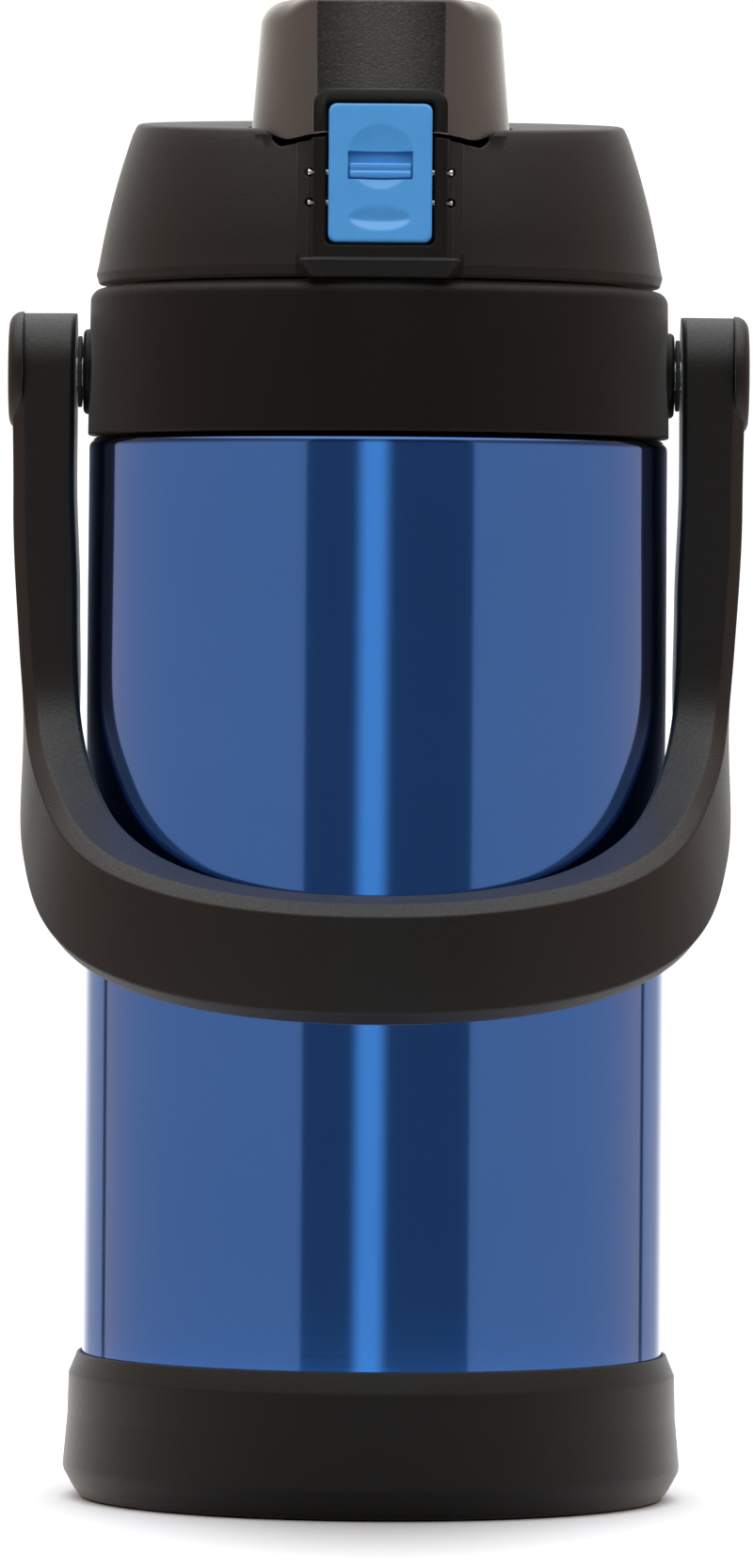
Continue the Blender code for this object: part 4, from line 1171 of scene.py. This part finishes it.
# ---- CAD nodes that stay ----
def dress_cad_nodes():
    """Gives each CAD node its material and joins the corners its facets share."""
    looks = {"steel": STEEL_LOOK, "foil": FOIL_LOOK, "silicone": SILICONE, "grey_plastic": GREY_LINER}
    for name, slot in SLOTS.items():
        node = frame["nodes"][name]
        node.data.materials.clear()
        node.data.materials.append(looks.get(slot, BLACK))
        weld = node.modifiers.new("weld", "WELD")
        weld.merge_threshold = 1e-6


# ---- studio ----
def floor():
    """Pale floor with a painted oval shadow under the jug, fading into the background further out."""
    bpy.ops.mesh.primitive_grid_add(x_subdivisions=2, y_subdivisions=2, size=6.0, location=(0, 0, -0.0002))
    plane = bpy.context.object
    plane.name = "floor"
    shade_half_x, shade_half_y = 0.076, 0.22
    fade_from, fade_to = 0.14, 0.45
    n = Look("floor_paper")
    away = n.add("VectorMath", {0: n.coords}, operation="LENGTH").outputs["Value"]
    stretch = {0: n.coords, 1: (1 / shade_half_x, 1 / shade_half_y, 0.0)}
    oval = n.add("VectorMath", stretch, operation="MULTIPLY").outputs[0]
    reach = n.add("VectorMath", {0: oval}, operation="LENGTH").outputs["Value"]
    pale = n.mix(n.noise(300.0, 3.0), (0.76, 0.78, 0.8, 1), (0.78, 0.8, 0.82, 1))
    # Grey painted into the floor's colour in an oval round the jug: a painted shadow.
    n.set(Base_Color=n.mix(n.span(reach, 0.3, 1.0), (0.33, 0.335, 0.34, 1), pale), Roughness=0.9)
    n.set(Specular_IOR_Level=0.0)
    clear = n.add("BsdfTransparent", {}).outputs[0]
    shaders = {0: n.span(away, fade_from, fade_to), 1: n.shader.outputs[0], 2: clear}
    blend = n.add("MixShader", shaders).outputs[0]
    n.join(blend, n.tree.nodes["Material Output"].inputs["Surface"])
    plane.data.materials.append(n.mat)


def studio_world():
    """Soft studio: wide side boxes, a narrow front strip, a bright ceiling, and white behind."""
    world = bpy.data.worlds.new("studio")
    bpy.context.scene.world = world
    world.use_nodes = True
    world.node_tree.nodes.clear()
    n = Nodes(world.node_tree)

    coords = n.add("TexCoord", {}).outputs["Generated"]
    x, y, z = n.add("SeparateXYZ", {0: coords}).outputs
    turn = n.math("ARCTAN2", x, n.math("MULTIPLY", y, -1.0))
    degrees = n.math("MULTIPLY", turn, 180 / pi)
    size = n.math("ABSOLUTE", degrees)
    box_from = n.between(n.step(degrees, -1.0, 1.0), 28.0, 38.0)  # left and right box
    in_box = n.step(n.math("SUBTRACT", size, box_from), -0.6, 0.9)
    off_strip = n.step(n.math("ABSOLUTE", n.math("ADD", degrees, 1.5)), 2.0, 8.5)
    behind = n.step(size, 132.0, 134.0)
    on_line = n.math("MULTIPLY", n.step(size, 132.5, 133.0), n.step(size, 136.5, 135.5))
    overhead = n.step(z, 0.58, 0.82)

    level = 0.72  # of the strip in front
    zones = (
        (off_strip, 0.13),
        (in_box, 0.36),
        (behind, 0.42),
        (on_line, 0.06),  # dark line at the back edge of the side boxes
        (n.step(size, 150.0, 172.0), 1.3),  # straight behind
        (overhead, 3.5),
        (n.step(z, -0.25, -0.6), 0.7),  # ground
    )
    for zone, light in zones:
        level = n.between(zone, level, light)

    warmth = n.math("MULTIPLY", in_box, n.math("SUBTRACT", 1.0, behind))
    warmth = n.math("MULTIPLY", warmth, n.math("SUBTRACT", 1.0, overhead))
    coolness = n.math("SUBTRACT", 1.0, off_strip)
    tint = n.add("CombineColor", {})
    for channel, warm, cool in ((0, 1.7, 0.85), (1, 1.2, 1.1), (2, 1.0, 1.02)):
        shade = n.math("MULTIPLY", n.between(warmth, 1.0, warm), n.between(coolness, 1.0, cool))
        n.join(shade, tint.inputs[channel])

    seen = n.add("LightPath", {}).outputs["Is Camera Ray"]
    strength = n.between(seen, level, 1.15)  # white backdrop
    shine = n.add("Background", {"Color": tint.outputs[0], "Strength": strength}).outputs[0]
    n.add("OutputWorld", {"Surface": shine})


def fill_light():
    """Soft frontal light that leaves no reflection of its own."""
    data = bpy.data.lights.new("fill", "AREA")
    data.size, data.energy = 1.6, 9.0
    light = in_scene("fill", data)
    light.location = (0, -2.2, 1.3)
    light.rotation_euler = (radians(62), 0, 0)
    light.visible_glossy = False


def camera():
    distance, height, roll = 1.945, 0.1636, -0.43
    data = bpy.data.cameras.new("camera")
    data.lens = 221.0
    data.sensor_width = 36
    data.shift_y = -0.0624
    data.clip_end = 50
    cam = in_scene("camera", data)
    cam.location = (0, -distance, height)
    cam.rotation_euler = (radians(90), radians(roll), 0)
    bpy.context.scene.camera = cam


def build():
    dress_cad_nodes()
    outer_shell()
    base_cup()
    foot_pad()
    collar()
    lid_body()
    spout()
    flip_cover()
    cover_inside()
    latch_button()
    lock_slider()
    latch_spring()
    cross_pins()
    handle()
    floor()
    studio_world()
    fill_light()
    camera()
    bpy.context.scene.view_settings.view_transform = "Standard"


build()
